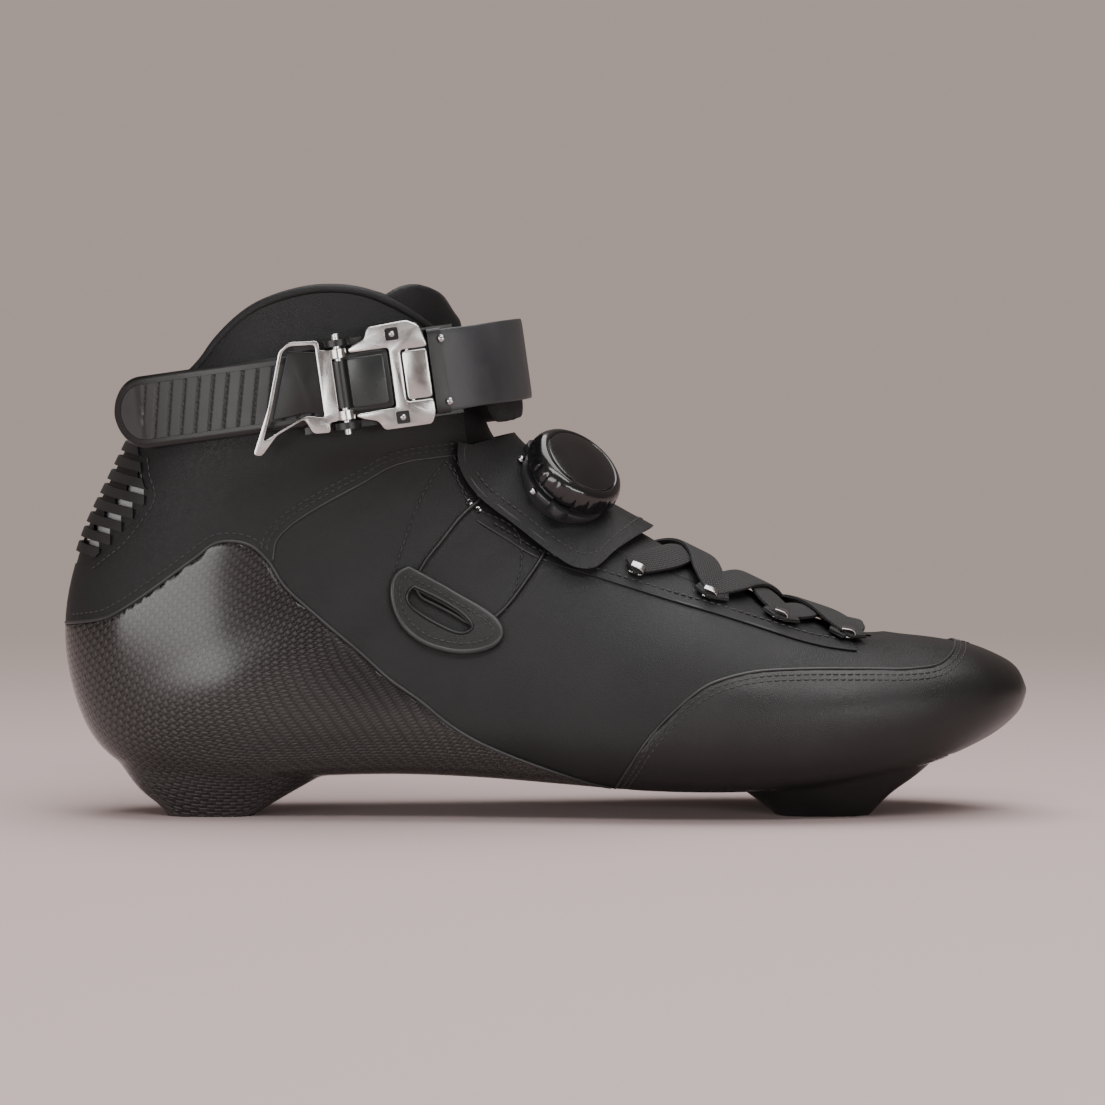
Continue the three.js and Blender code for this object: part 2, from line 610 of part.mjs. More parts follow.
// ---------------------------------------------------------------- instep flap, guides and dial
const FLAP_LOW = 2.5;
const FLAP_THICKNESS = 1.4;
const flap = wall(FLAP_LOW, FLAP_LOW + FLAP_THICKNESS, 2, 12).intersect(across(FLAP));
add("instep_flap", largest(flap), "leather");

const CABLE_LIFT = CABLE_RADIUS + 1.3 * GAP;
const CABLE_ROUTE = [
  [141, 99.5], [133.5, 100.4], [124.6, 94.5], [118, 86.5], [111.8, 78.6], [109.6, 73], [111.5, 68.8],
  [116.8, 66], [122.3, 63], [127.6, 60.4], [132.4, 61.6], [137.3, 65.6], [143.5, 73.5], [148.5, 81],
  [151.5, 89],
];
const guideWall = wall(GAP, GAP + 2.6, 4, 13);
for (const [side, label, half] of [[-1, "outer", outerHalf], [1, "inner", innerHalf]]) {
  const route = CABLE_ROUTE.map((place) => {
    const { v, g } = locate(place, side);
    return skin(v, g, CABLE_LIFT);
  });
  const room = solid(tube(route, CABLE_RADIUS + GAP, 8, 26));
  const guide = guideWall.intersect(across(GUIDE)).subtract(across(GUIDE_SLOT)).intersect(half);
  add(`cable_guide_${label}`, largest(guide.subtract(room)), "blackPlastic");
  add(`dial_cable_${label}`, tube(route, CABLE_RADIUS, 8, 26), "steel");
}

// The dial stands on the flap; its parts turn about their own z.
const dial = seat([152.6, 99.4], -1, FLAP_LOW + FLAP_THICKNESS + GAP);
const DIAL_FLOOR = 1.6;
const CUP_HEIGHT = 8.4;
const POST_RADIUS = 2.4;
const CUP_WALL = 1.4;
const spoolFloor = DIAL_FLOOR + GAP;
const SPOOL_HEIGHT = 4.4;
const hubFloor = spoolFloor + SPOOL_HEIGHT + GAP;
const HUB_HEIGHT = 2.6;
const knobRoof = DIAL_HEIGHT - 2;

function dialBase() {
  dial.updateMatrix();
  const toDial = dial.matrix.clone().invert();
  const underFlap = inside(FLAP_LOW + FLAP_THICKNESS + GAP, 1, 14).transform(toDial.elements);
  const skirt = post(DIAL_FLANGE_RADIUS - 2, -7, 7 + DIAL_FLOOR, 24, DIAL_FLANGE_RADIUS);
  let base = skirt.add(post(DIAL_BASE_RADIUS, 0, CUP_HEIGHT, 24));
  base = base.subtract(post(DIAL_BASE_RADIUS - CUP_WALL, DIAL_FLOOR, CUP_HEIGHT, 24));
  for (const turn of [0, 1, 2]) {
    const tab = block(DIAL_FLANGE_RADIUS - 2, DIAL_FLANGE_RADIUS + 1.6, -3, 3, 0, DIAL_FLOOR + 1.2);
    base = base.add(tab.rotate([0, 0, 35 + 120 * turn]));
  }
  return largest(base.add(post(POST_RADIUS, 0.5, hubFloor + HUB_HEIGHT - 0.5, 16)).subtract(underFlap));
}

function dialSpool() {
  const drum = post(SPOOL_RADIUS - 2, spoolFloor, SPOOL_HEIGHT, 24);
  const cheek = (z) => post(SPOOL_RADIUS, z, 1, 24);
  const body = drum.add(cheek(spoolFloor)).add(cheek(spoolFloor + SPOOL_HEIGHT - 1));
  return body.subtract(post(POST_RADIUS + GAP, 0, 20, 16));
}

function dialHub() {
  let hub = post(6.5, hubFloor, HUB_HEIGHT, 24);
  for (let i = 0; i < 6; i++) {
    hub = hub.add(block(5.8, 7.8, -1, 1, hubFloor, hubFloor + HUB_HEIGHT).rotate([0, 0, 60 * i]));
  }
  return hub.subtract(post(POST_RADIUS + GAP, 0, 20, 16));
}

function dialKnob() {
  const chamfer = 2.6;
  const profile = [
    [0, DIAL_HEIGHT], [DIAL_RADIUS - chamfer, DIAL_HEIGHT], [DIAL_RADIUS - 0.7, DIAL_HEIGHT - 1],
    [DIAL_RADIUS, DIAL_HEIGHT - chamfer], [DIAL_RADIUS, 4.2], [DIAL_RADIUS - DIAL_WALL, 3.2],
    [DIAL_RADIUS - DIAL_WALL, knobRoof], [0, knobRoof],
  ];
  const points = profile.map(([r, z]) => new THREE.Vector2(r, z));
  let knob = solid(new THREE.LatheGeometry(points, 24).rotateX(Math.PI / 2));
  const grip = 12;
  for (let i = 0; i < grip; i++) {
    const groove = block(DIAL_RADIUS - 0.6, DIAL_RADIUS + 1, -0.8, 0.8, 3, DIAL_HEIGHT - chamfer);
    knob = knob.subtract(groove.rotate([0, 0, (360 * i) / grip]));
  }
  const rim = post(DIAL_RADIUS - 3.6, DIAL_HEIGHT - 0.7, 3, 32);
  return knob.subtract(rim);
}

add("dial_base", dialBase(), "blackPlastic", dial);
add("dial_spool", dialSpool(), "greyPlastic", dial);
add("dial_drive_hub", dialHub(), "steel", dial);
add("dial_knob", dialKnob(), "blackPlastic", dial);
add("dial_cap", post(DIAL_RADIUS - 3.6 - GAP, DIAL_HEIGHT - 0.7 + GAP, 0.9, 32), "blackPlastic", dial);

// ---------------------------------------------------------------- ankle strap and buckle
// The ladder strap runs on a circle so that it can feed through the buckle. In the strap's own frame x
// runs forwards along it, z up across it, and the outer side of the ankle is at negative y.
const STRAP_TILT = 8;
const FEED_RADIUS = 110;
const FEED_CENTRE = [-8, 69.5];
const strap = new THREE.Group();
strap.position.set(88 * GRADE.x, 0, 134.2 * GRADE.z);
strap.rotation.y = THREE.MathUtils.degToRad(-STRAP_TILT);
boot.add(strap);
const strapSide = (GRADE.y - 1) * DRAWN.width * 0.5;
const SPREAD = STRAP_WIDTH / DRAWN.strap;

// A point at a distance s along the ladder circle, at a radius from its centre.
function onFeed(s, radius, z) {
  const angle = s / FEED_RADIUS;
  return new THREE.Vector3(
    FEED_CENTRE[0] + radius * Math.sin(angle),
    FEED_CENTRE[1] - strapSide - radius * Math.cos(angle),
    z,
  );
}

// A bent bar between two radii, with half heights along s given by a function.
function arcBar(r0, r1, s0, s1, low, high, steps) {
  const rings = [];
  for (let i = 0; i <= steps; i++) {
    const s = s0 + ((s1 - s0) * i) / steps;
    const [z0, z1] = [low, high].map((edge) => (typeof edge === "function" ? edge(s) : edge));
    rings.push([onFeed(s, r0, z0), onFeed(s, r1, z0), onFeed(s, r1, z1), onFeed(s, r0, z1)]);
  }
  return loft(rings);
}

const TAIL_S = -66; // the ladder's free end and its end under the band, measured along the circle
const HEAD_S = 43;
const TOOTH_SHARE = 0.62;
const TOOTH_ROOT = 0.4;
const toothHalf = STRAP_WIDTH / 2 - 2.4;
const ladderTop = FEED_RADIUS + STRAP_THICKNESS;
function ladderStrap() {
  const half = STRAP_WIDTH / 2;
  const reach = (s) => Math.max(half * Math.sqrt(Math.max(1 - ((TAIL_S + half - s) / half) ** 2, 0)), 3);
  const edge = (s) => (s < TAIL_S + half ? reach(s) : half);
  let body = arcBar(FEED_RADIUS, ladderTop, TAIL_S, HEAD_S, (s) => -edge(s), edge, 26);
  for (let s = TAIL_S + 10; s < HEAD_S - 3; s += TOOTH_PITCH) {
    const end = s + TOOTH_PITCH * TOOTH_SHARE;
    const tooth = arcBar(ladderTop - TOOTH_ROOT, ladderTop + TOOTH_HEIGHT, s, end, -toothHalf, toothHalf, 1);
    body = body.add(tooth);
  }
  return body;
}
add("ladder_strap", ladderStrap(), "greyPlastic", strap);

// The front band and its pad: points on the inside of the band, from the buckle round to the inner ankle.
const BAND = [
  [27, -38.6], [34, -36.8], [41, -33], [47.5, -26.5], [52, -17], [53.8, -6], [53.8, 5], [51, 16], [45, 25.5],
  [36, 32.5], [25, 36.8], [12, 39.2], [0, 39.9], [-12, 39.6], [-22, 38.4],
];
function bandSamples(shift, width, first, last) {
  const points = BAND.slice(first, last).map(([x, y]) => new THREE.Vector3(x, y * GRADE.y, 0));
  const curve = new THREE.CatmullRomCurve3(points, false, "centripetal");
  const count = 2 * points.length;
  return Array.from({ length: count + 1 }, (_, i) => {
    const point = curve.getPoint(i / count);
    const tangent = curve.getTangent(i / count);
    const normal = new THREE.Vector3(tangent.y, -tangent.x, 0);
    return { point: point.addScaledVector(normal, shift), normal, width };
  });
}
add("strap_band", ribbon(bandSamples(0, BAND_WIDTH, 0, BAND.length), STRAP_THICKNESS), "webbing", strap);
const PAD_THICKNESS = 8;
const pad = ribbon(bandSamples(-GAP - PAD_THICKNESS, BAND_WIDTH + 7, 3, 9), PAD_THICKNESS);
add("strap_pad", pad.translate(0, 0, -2), "lining", strap);

// Buckle base under the ladder, with a cheek on each side of it.
const BASE_THICKNESS = 2.8;
const baseTop = FEED_RADIUS - 2 * GAP;
const cheekIn = STRAP_WIDTH / 2 + 2 * GAP;
const cheekOut = cheekIn + 2;
const PIN_X = 0;
const pinRadius = ladderTop + TOOTH_HEIGHT + 3.2;
const pinS = FEED_RADIUS * Math.asin((PIN_X - FEED_CENTRE[0]) / pinRadius);
const pinCentre = onFeed(pinS, pinRadius, 0);
const TAB_S = 27.5;
const tabCentre = onFeed(TAB_S, ladderTop + TOOTH_HEIGHT + 2.6, 0);
const TAB_PIN_RADIUS = 0.9;

function alongZ(radius, centre, length, sides = 16) {
  return post(radius, -length / 2, length, sides).translate(centre.x, centre.y, 0);
}

function buckleBase() {
  let base = arcBar(baseTop - BASE_THICKNESS, baseTop, -5, 43, -cheekOut, cheekOut, 10);
  for (const side of [-1, 1]) {
    const [low, high] = side < 0 ? [-cheekOut, -cheekIn] : [cheekIn, cheekOut];
    base = base.add(arcBar(baseTop - 0.5, ladderTop + TOOTH_HEIGHT + 0.2, -5, 43, low, high, 10));
    base = base.add(arcBar(ladderTop, pinRadius + PIN_RADIUS + 1.4, pinS - 4, pinS + 4, low, high, 2));
  }
  return base
    .subtract(alongZ(PIN_RADIUS + GAP, pinCentre, 60))
    .subtract(alongZ(TAB_PIN_RADIUS + GAP, tabCentre, 60));
}
add("buckle_base", buckleBase(), "blackPlastic", strap);
add("lever_pin", alongZ(PIN_RADIUS, pinCentre, BUCKLE_WIDTH * SPREAD), "steel", strap);
add("tab_pin", alongZ(TAB_PIN_RADIUS, tabCentre, 2 * cheekOut + 1.6, 12), "steel", strap);

// An outline in the strap's x and z, drawn for the buckle's usual width, as a plate between two y values.
function plate(outline, y0, y1, holes = []) {
  const toShape = (points, Kind) => new Kind(points.map(([x, z]) => new THREE.Vector2(x, z * SPREAD)));
  const shape = toShape(outline, THREE.Shape);
  shape.holes = holes.map((hole) => toShape(hole, THREE.Path));
  const slab = new THREE.ExtrudeGeometry(shape, { depth: y1 - y0, bevelEnabled: false });
  return solid(slab.rotateX(Math.PI / 2).translate(0, y1, 0));
}

// The silver frame bridges the cheeks in front of the lever: a cross bar, two arms and a notch for the tab.
const frameLow = tabCentre.y - TAB_PIN_RADIUS - 1.2;
const FRAME_THICKNESS = 1.4;
const frameOutline = [
  [3.2, 9], [3.2, 10.6], [8.4, 12.6], [9.8, 16], [22, 16.6], [25.6, 14.4], [27, 9.2], [27, 7.9],
  [18.8, 7.9], [18.8, -7.9], [27, -7.9], [27, -12.2], [25.6, -15.6], [11, -15.6], [9.4, -12.6],
  [3.2, -10.8], [3.2, -9.4], [15.4, -9], [15.4, 9],
];
function buckleFrame() {
  const face = plate(frameOutline, frameLow - FRAME_THICKNESS, frameLow);
  const wing = (z0, z1) => block(16, 25, frameLow - 0.4, tabCentre.y + 2.6, z0, z1);
  const side = cheekOut + 1.2 * GAP;
  return face
    .add(wing(side, side + 1.4))
    .add(wing(-side - 1.4, -side))
    .subtract(alongZ(TAB_PIN_RADIUS + GAP / 2, tabCentre, 60));
}
add("buckle_frame", buckleFrame(), "silver", strap);

const TAB_HALF = 7.4;
const NOSE_HALF = 6.4;
function oblong(x0, x1, half) {
  return [[x0, half], [x1, half], [x1, -half], [x0, -half]];
}

// The release tab turns on its pin; its nose holds the ladder's teeth.
function releaseTab() {
  const barrel = alongZ(TAB_PIN_RADIUS + GAP + 1, tabCentre, 2 * TAB_HALF * SPREAD);
  const face = plate(oblong(19.2, 26.8, TAB_HALF), frameLow - 1.2, frameLow + 0.3);
  const nose = plate(oblong(14.6, 20.5, NOSE_HALF), tabCentre.y - 0.8, tabCentre.y + 1.2);
  return barrel.add(face).add(nose).subtract(alongZ(TAB_PIN_RADIUS + GAP, tabCentre, 60));
}
add("release_tab", releaseTab(), "silver", strap);

// The skeleton lever: two ears on the pin, a slanting grip bar and a cross bar that make two windows.
const leverLow = pinCentre.y + 0.6;
const LEVER_THICKNESS = 2.2;
const leverOutline = [
  [-2, 10.9], [-5.2, 10.9], [-5.2, 14], [-14, 14.8], [-17.4, 12.6], [-23, -4], [-29.4, -17.4],
  [-27, -18.2], [-21.6, -12.6],
  [-12.6, -8.8], [-10.4, -13.6], [-5.2, -14], [-5.2, -10.9], [-2, -10.9],
];
const gripWindow = [[-14.2, 12.6], [-15.6, 11.4], [-21.2, -5], [-24.4, -12.4], [-20.4, -10.4],
  [-11.4, -6.4], [-7.2, -7.6], [-7.2, 12]];
function buckleLever() {
  const earLength = 3;
  const earEnd = 10.9 * SPREAD;
  const between = 7.6 * SPREAD;
  const skeleton = plate(leverOutline, leverLow - LEVER_THICKNESS, leverLow, [gripWindow]);
  const ear = (z) => post(PIN_RADIUS + 1.5, z, earLength).translate(pinCentre.x, pinCentre.y, 0);
  return skeleton
    .subtract(block(-3.4, 6, -90, 90, -between, between))
    .add(ear(-earEnd))
    .add(ear(earEnd - earLength))
    .subtract(alongZ(PIN_RADIUS + GAP, pinCentre, 60));
}
add("buckle_lever", buckleLever(), "silver", strap);
add(
  "lever_web",
  plate([[-6, 10.6], [-15, 12.2], [-22.4, -8], [-11.6, -7], [-6, -8.4]], leverLow + GAP, leverLow + 1.4),
  "blackPlastic",
  strap,
);

// The drive pawl hangs on the lever's pin between the ears and drops into the ladder.
function drivePawl() {
  const barrel = alongZ(PIN_RADIUS + GAP + 1, pinCentre, 2 * 7.2 * SPREAD);
  const arm = plate(oblong(0, 8.5, NOSE_HALF), pinCentre.y + 0.2, pinCentre.y + 1.7);
  const nose = plate(oblong(5.5, 8.5, NOSE_HALF), pinCentre.y + 1.5, pinCentre.y + 3.2);
  return barrel.add(arm).add(nose).subtract(alongZ(PIN_RADIUS + GAP, pinCentre, 60));
}
add("drive_pawl", drivePawl(), "steel", strap);

// Screws, rivets and the inner anchor.
function rivet(radius, head, length) {
  return post(radius, 0, head, 14).add(post(radius * 0.55, -length, length + 0.2, 10));
}
function fixAt(name, x, z, side, y) {
  const holder = new THREE.Group();
  holder.position.set(x, y, z);
  holder.rotation.x = side < 0 ? Math.PI / 2 : -Math.PI / 2;
  strap.add(holder);
  add(name, rivet(1.5, 0.8, 0), "steel", holder);
}
fixAt("band_rivet_upper", 31.5, 9.6, -1, -38.6 * GRADE.y - STRAP_THICKNESS - GAP);
fixAt("band_rivet_lower", 31.5, -9.6, -1, -38.6 * GRADE.y - STRAP_THICKNESS - GAP);
const anchorY = 39.2 * GRADE.y + STRAP_THICKNESS + 2 * GAP + 0.7;
const anchorPlate = plate([[-20, 9], [-4, 9], [-4, -9], [-20, -9]], anchorY, anchorY + 1.4);
add("strap_anchor", anchorPlate, "blackPlastic", strap);
fixAt("anchor_screw_upper", -12, 4.5, 1, anchorY + 1.4 + GAP);
fixAt("anchor_screw_lower", -12, -4.5, 1, anchorY + 1.4 + GAP);

// The origin is under the middle of the boot, on the plane that the mounting blocks stand on.
const bounds = new THREE.Box3().setFromObject(boot);
const middle = bounds.getCenter(new THREE.Vector3());
boot.position.set(-middle.x, -middle.y, -bounds.min.z);

const part = new THREE.Group();
part.add(boot);

export default part;
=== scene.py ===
"""Dresses a right speed-skating boot: carbon shell, leather upper, flat laces, lacing dial and ankle strap.

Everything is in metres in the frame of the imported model: +X to the toe, +Y to the inner side, +Z up.
Shapes on the boot are written as side-view places in millimetres, measured from the back of the heel
and from the ground, and are laid on the boot's own surface.
"""

import json
import logging
import math
from collections.abc import Callable, Sequence
from dataclasses import dataclass, field
from enum import Enum

import bpy
import numpy as np
from mathutils import Matrix, Vector
from mathutils.kdtree import KDTree


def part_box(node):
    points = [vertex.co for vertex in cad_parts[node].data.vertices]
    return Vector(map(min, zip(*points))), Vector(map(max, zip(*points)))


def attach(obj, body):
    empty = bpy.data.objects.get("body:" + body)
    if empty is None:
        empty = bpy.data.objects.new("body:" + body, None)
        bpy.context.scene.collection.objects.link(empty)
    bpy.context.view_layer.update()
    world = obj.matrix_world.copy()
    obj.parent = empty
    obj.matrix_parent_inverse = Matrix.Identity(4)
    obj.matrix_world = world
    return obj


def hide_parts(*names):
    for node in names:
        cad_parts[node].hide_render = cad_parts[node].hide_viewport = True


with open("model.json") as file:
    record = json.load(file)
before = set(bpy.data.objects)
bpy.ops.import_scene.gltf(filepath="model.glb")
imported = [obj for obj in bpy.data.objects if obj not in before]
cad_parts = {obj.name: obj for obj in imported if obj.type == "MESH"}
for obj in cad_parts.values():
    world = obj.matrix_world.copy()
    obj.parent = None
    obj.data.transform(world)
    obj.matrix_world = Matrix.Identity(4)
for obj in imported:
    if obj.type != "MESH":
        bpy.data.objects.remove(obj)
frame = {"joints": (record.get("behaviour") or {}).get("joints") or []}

log = logging.getLogger("boot")
Array = np.ndarray
Place = tuple[float, float]

MM = 0.001
MERGE = 1e-7
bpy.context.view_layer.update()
HEEL_BOLT = (42.5, 0.0)


class Side(Enum):
    """The two sides of the foot."""

    OUTER = -1
    INNER = 1


class Operation(Enum):
    """How two solids are put together."""

    CUT = "DIFFERENCE"
    KEEP = "INTERSECT"
    JOIN = "UNION"


def shift() -> Array:
    """Finds where the heel's back point stands in the model's frame.

    Returns:
        The offset in metres from heel measure to the model's frame.
    """
    low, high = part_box("heel_insert")
    middle = (np.array(low) + np.array(high)) / 2
    return np.array([middle[0] - HEEL_BOLT[0] * MM, middle[1] - HEEL_BOLT[1] * MM, 0.0])


SHIFT = shift()


def to_frame(points: Array) -> Array:
    """Turns points in heel measure, in millimetres, into the model's frame in metres."""
    return np.asarray(points, float) * MM + SHIFT


# ------------------------------------------------------------------ the boot's own surface
class Last:
    """The shape that the boot is built on: sections that fan out from the ankle to the toe."""

    COLUMNS = (
        (41, 34, 26, 16, 5, 0, 4, 14, 32, 55, 80, 105, 130, 155, 180, 205, 228, 248, 266, 280, 290.5, 297.5,
         300.3),
        (168, 147, 128, 108, 84, 58, 34, 18.5, 12, 11, 12.5, 13, 12, 10, 8, 7.5, 8.5, 11, 15, 20, 25.5,
         31.5, 38),
        (123, 125, 128, 133, 136, 141, 146, 151, 157, 164, 172, 181, 191, 202, 214, 228, 243, 257, 270, 281,
         290.5, 297, 300.3),
        (171, 155, 138, 123, 117.5, 112, 107, 103, 99, 95.5, 91.5, 86.5, 80.5, 75, 69, 62.5, 58, 56, 54.5,
         52.5, 49, 44.8, 38),
        (34.5, 35.5, 36.5, 36, 34, 33.5, 34, 35, 35.5, 36, 37, 38.5, 41, 44, 46.5, 47.5, 46.5, 43.5, 38.5,
         32, 23.5, 13.5, 0),
        (0.48, 0.48, 0.48, 0.48, 0.46, 0.42, 0.38, 0.36, 0.34, 0.32, 0.32, 0.32, 0.34, 0.36, 0.38, 0.4,
         0.42, 0.44, 0.46, 0.48, 0.5, 0.5, 0.5),
        (2.2, 2.2, 2.2, 2.2, 2.2, 2.3, 2.4, 2.6, 2.8, 3, 3, 3, 3, 3, 3, 3, 2.9, 2.8, 2.6, 2.4, 2.2, 2, 2),
        (2.2, 2.2, 2.2, 2.15, 2.1, 2, 2, 2, 1.95, 1.9, 1.9, 1.9, 1.9, 2, 2.1, 2.2, 2.3, 2.3, 2.3, 2.3, 2.2,
         2, 2),
        (0, 0, 0, 0, 0, 0, 0, 0, 0.5, 1, 1.5, 2, 2.5, 3, 3.5, 4, 4.5, 5, 5.5, 6, 6.3, 6.5, 6.5),
    )

    def __init__(self) -> None:
        """Reads the table.

        Its rows are back x, back z, front x, front z, half width, widest, low, high and sideways shift.
        """
        self.table = np.array(self.COLUMNS, float)
        self.end = self.table.shape[1] - 1

    def eased(self, v: Array, row: int) -> Array:
        """Reads a row of the table between its stored sections.

        Args:
            v: Section numbers.
            row: Which row of the table.

        Returns:
            Values on a smooth curve through the stored ones.
        """
        values = self.table[row]
        i = np.minimum(np.floor(v), self.end - 1).astype(int)
        t = v - i
        a, b, c, d = (values[np.clip(i + k, 0, self.end)] for k in (-1, 0, 1, 2))
        start, stop = (c - a) / 2, (d - b) / 2
        return (
            (2 * t**3 - 3 * t**2 + 1) * b
            + (t**3 - 2 * t**2 + t) * start
            + (3 * t**2 - 2 * t**3) * c
            + (t**3 - t**2) * stop
        )

    def point(self, v: Array, g: Array) -> Array:
        """Finds points on the surface.

        Args:
            v: Section numbers, from the ankle opening to the toe.
            g: Girth: 0 at the back or sole, 1 and -1 at the front or instep, negative on the outer side.

        Returns:
            Points in heel measure, in millimetres.
        """
        v, g = np.broadcast_arrays(np.asarray(v, float), np.asarray(g, float))
        around = ((g + 1) % 2) - 1
        angle = np.pi * np.abs(around)
        widest = self.eased(v, 5)
        lower = angle <= np.pi / 2
        power = 2 / np.where(lower, self.eased(v, 6), self.eased(v, 7))
        along = np.abs(np.cos(angle)) ** power
        share = np.where(lower, widest * (1 - along), widest + (1 - widest) * along)
        reach = np.maximum(self.eased(v, 4), 0) * np.maximum(np.sin(angle), 0) ** power
        back = np.stack([self.eased(v, 0), self.eased(v, 1)])
        front = np.stack([self.eased(v, 2), self.eased(v, 3)])
        x, z = back + (front - back) * share
        return np.stack([x, np.sign(around) * reach + self.eased(v, 8), z], -1)

    def normal(self, v: Array, g: Array) -> Array:
        """Finds the outward normals of the surface.

        Args:
            v: Section numbers.
            g: Girths.

        Returns:
            Unit vectors.
        """
        v, g = np.broadcast_arrays(np.asarray(v, float), np.asarray(g, float))
        step = 0.04
        w = np.clip(v, step, self.end - 0.12)
        along = self.point(w + step, g) - self.point(w - step, g)
        turn = self.point(w, g + 0.02) - self.point(w, g - 0.02)
        normal = np.cross(turn, along)
        normal /= np.linalg.norm(normal, axis=-1, keepdims=True)
        return np.where((v > self.end - 0.01)[..., None], np.array([1.0, 0, 0]), normal)

    def skin(self, v: Array, g: Array, lift: Array | float) -> Array:
        """Finds points in heel measure at a height in millimetres above the surface."""
        return self.point(v, g) + self.normal(v, g) * np.asarray(lift, float)[..., None]

    def locate(self, places: Sequence[Place] | Array, side: Side) -> tuple[Array, Array]:
        """Finds where side-view places lie on the surface.

        Args:
            places: Pairs of x and z in millimetres.
            side: Which side of the foot is looked at.

        Returns:
            Section numbers and girths.
        """
        spots = np.asarray(places, float).reshape(-1, 2)

        def off(v: Array) -> Array:
            """Tells on which side of the sections v the places lie, by sign."""
            back = np.stack([self.eased(v, 0), self.eased(v, 1)], -1)
            line = np.stack([self.eased(v, 2), self.eased(v, 3)], -1) - back
            apart = spots - back
            return line[:, 0] * apart[:, 1] - line[:, 1] * apart[:, 0]

        low = np.zeros(len(spots))
        high = np.full(len(spots), self.end - 0.3)
        for _ in range(40):
            middle = (low + high) / 2
            same = (off(middle) > 0) == (off(low) > 0)
            low = np.where(same, middle, low)
            high = np.where(same, high, middle)
        back = np.stack([self.eased(low, 0), self.eased(low, 1)], -1)
        line = np.stack([self.eased(low, 2), self.eased(low, 3)], -1) - back
        share = np.clip(((spots - back) * line).sum(1) / (line * line).sum(1), 0, 1)
        widest = self.eased(low, 5)
        under = np.arccos(np.clip(1 - share / widest, 0, 1) ** (self.eased(low, 6) / 2))
        over = np.pi - np.arccos(np.clip((share - widest) / (1 - widest), 0, 1) ** (self.eased(low, 7) / 2))
        return low, side.value * np.where(share < widest, under, over) / np.pi


LAST = Last()


def smooth(places: Sequence[Place] | Array, step: float = 1.2) -> Array:
    """Draws a smooth line through places.

    Args:
        places: The places that the line goes through, in two or three dimensions.
        step: Distance between the points of the line.

    Returns:
        The points of the line.
    """
    knots = np.asarray(places, float)
    gaps = np.sqrt(np.linalg.norm(np.diff(knots, axis=0), axis=1)) + 1e-9
    times = np.concatenate([[0], np.cumsum(gaps)])
    slopes = np.gradient(knots, times, axis=0, edge_order=2 if len(knots) > 2 else 1)
    line = []
    for i, gap in enumerate(gaps):
        count = max(int(math.ceil(gap**2 / step)), 1)
        t = (np.arange(count) / count)[:, None]
        line.append(
            (2 * t**3 - 3 * t**2 + 1) * knots[i]
            + (t**3 - 2 * t**2 + t) * slopes[i] * gap
            + (3 * t**2 - 2 * t**3) * knots[i + 1]
            + (t**3 - t**2) * slopes[i + 1] * gap
        )
    return np.concatenate([*line, knots[-1:]])


def evenly(points: Array, step: float) -> Array:
    """Spaces points evenly along a line.

    Args:
        points: The points of the line.
        step: The wanted distance between neighbours.

    Returns:
        Points at equal distances.
    """
    lengths = np.concatenate([[0], np.cumsum(np.linalg.norm(np.diff(points, axis=0), axis=1))])
    count = max(int(round(lengths[-1] / step)), 1)
    at = np.linspace(0, lengths[-1], count + 1)
    return np.stack([np.interp(at, lengths, points[:, k]) for k in range(points.shape[1])], -1)


def offset(outline: Array, by: float) -> Array:
    """Moves a closed side-view outline outward.

    Args:
        outline: The outline's places.
        by: Distance, negative to move it inward.

    Returns:
        The moved outline.
    """
    before = outline - np.roll(outline, 1, 0)
    after = np.roll(outline, -1, 0) - outline
    following = np.roll(outline, -1, 0)
    area = (outline[:, 0] * following[:, 1] - following[:, 0] * outline[:, 1]).sum()
    turn = np.array([1, -1]) * (1 if area > 0 else -1)
    unit = []
    for edge in (before, after):
        unit.append((edge / (np.linalg.norm(edge, axis=1, keepdims=True) + 1e-12))[:, ::-1] * turn)
    normal = unit[0] + unit[1]
    normal /= np.linalg.norm(normal, axis=1, keepdims=True) + 1e-12
    reach = by / np.maximum((normal * unit[1]).sum(1, keepdims=True), 0.4)
    return outline + normal * reach


def beside(line: Array, by: float) -> Array:
    """Moves an open side-view line sideways.

    Args:
        line: The line's places.
        by: Distance to the left of its direction, negative to the right.

    Returns:
        The moved line.
    """
    step = np.gradient(line, axis=0)
    step /= np.linalg.norm(step, axis=1, keepdims=True)
    return line + by * step[:, ::-1] * (-1, 1)


def respaced(values: Array, count: int) -> Array:
    """Reads rows of vectors at another number of even shares of their length."""
    at, known = np.linspace(0, 1, count), np.linspace(0, 1, len(values))
    return np.stack([np.interp(at, known, values[:, k]) for k in range(values.shape[1])], -1)


# ------------------------------------------------------------------ the workshop
def bare() -> None:
    """Deselects everything, so that an operator touches only its own piece."""
    if bpy.context.mode != "OBJECT":
        bpy.ops.object.mode_set(mode="OBJECT")
    bpy.ops.object.select_all(action="DESELECT")


def choose(obj: bpy.types.Object) -> None:
    """Makes one object the selected and active one."""
    bare()
    obj.select_set(True)
    bpy.context.view_layer.objects.active = obj


def taken(name: str) -> bpy.types.Object:
    """Names the object that an operator has just added.

    Args:
        name: The name for the object and its mesh.

    Returns:
        The object.
    """
    obj = bpy.context.active_object
    obj.name = name.replace(" ", "_") + "_look"
    obj.data.name = obj.name
    return obj


def tidy_faces(obj: bpy.types.Object) -> None:
    """Joins coinciding vertices and turns every face outward.

    Args:
        obj: The object.
    """
    choose(obj)
    bpy.ops.object.mode_set(mode="EDIT")
    bpy.ops.mesh.select_all(action="SELECT")
    bpy.ops.mesh.remove_doubles(threshold=MERGE)
    bpy.ops.mesh.normals_make_consistent(inside=False)
    bpy.ops.object.mode_set(mode="OBJECT")


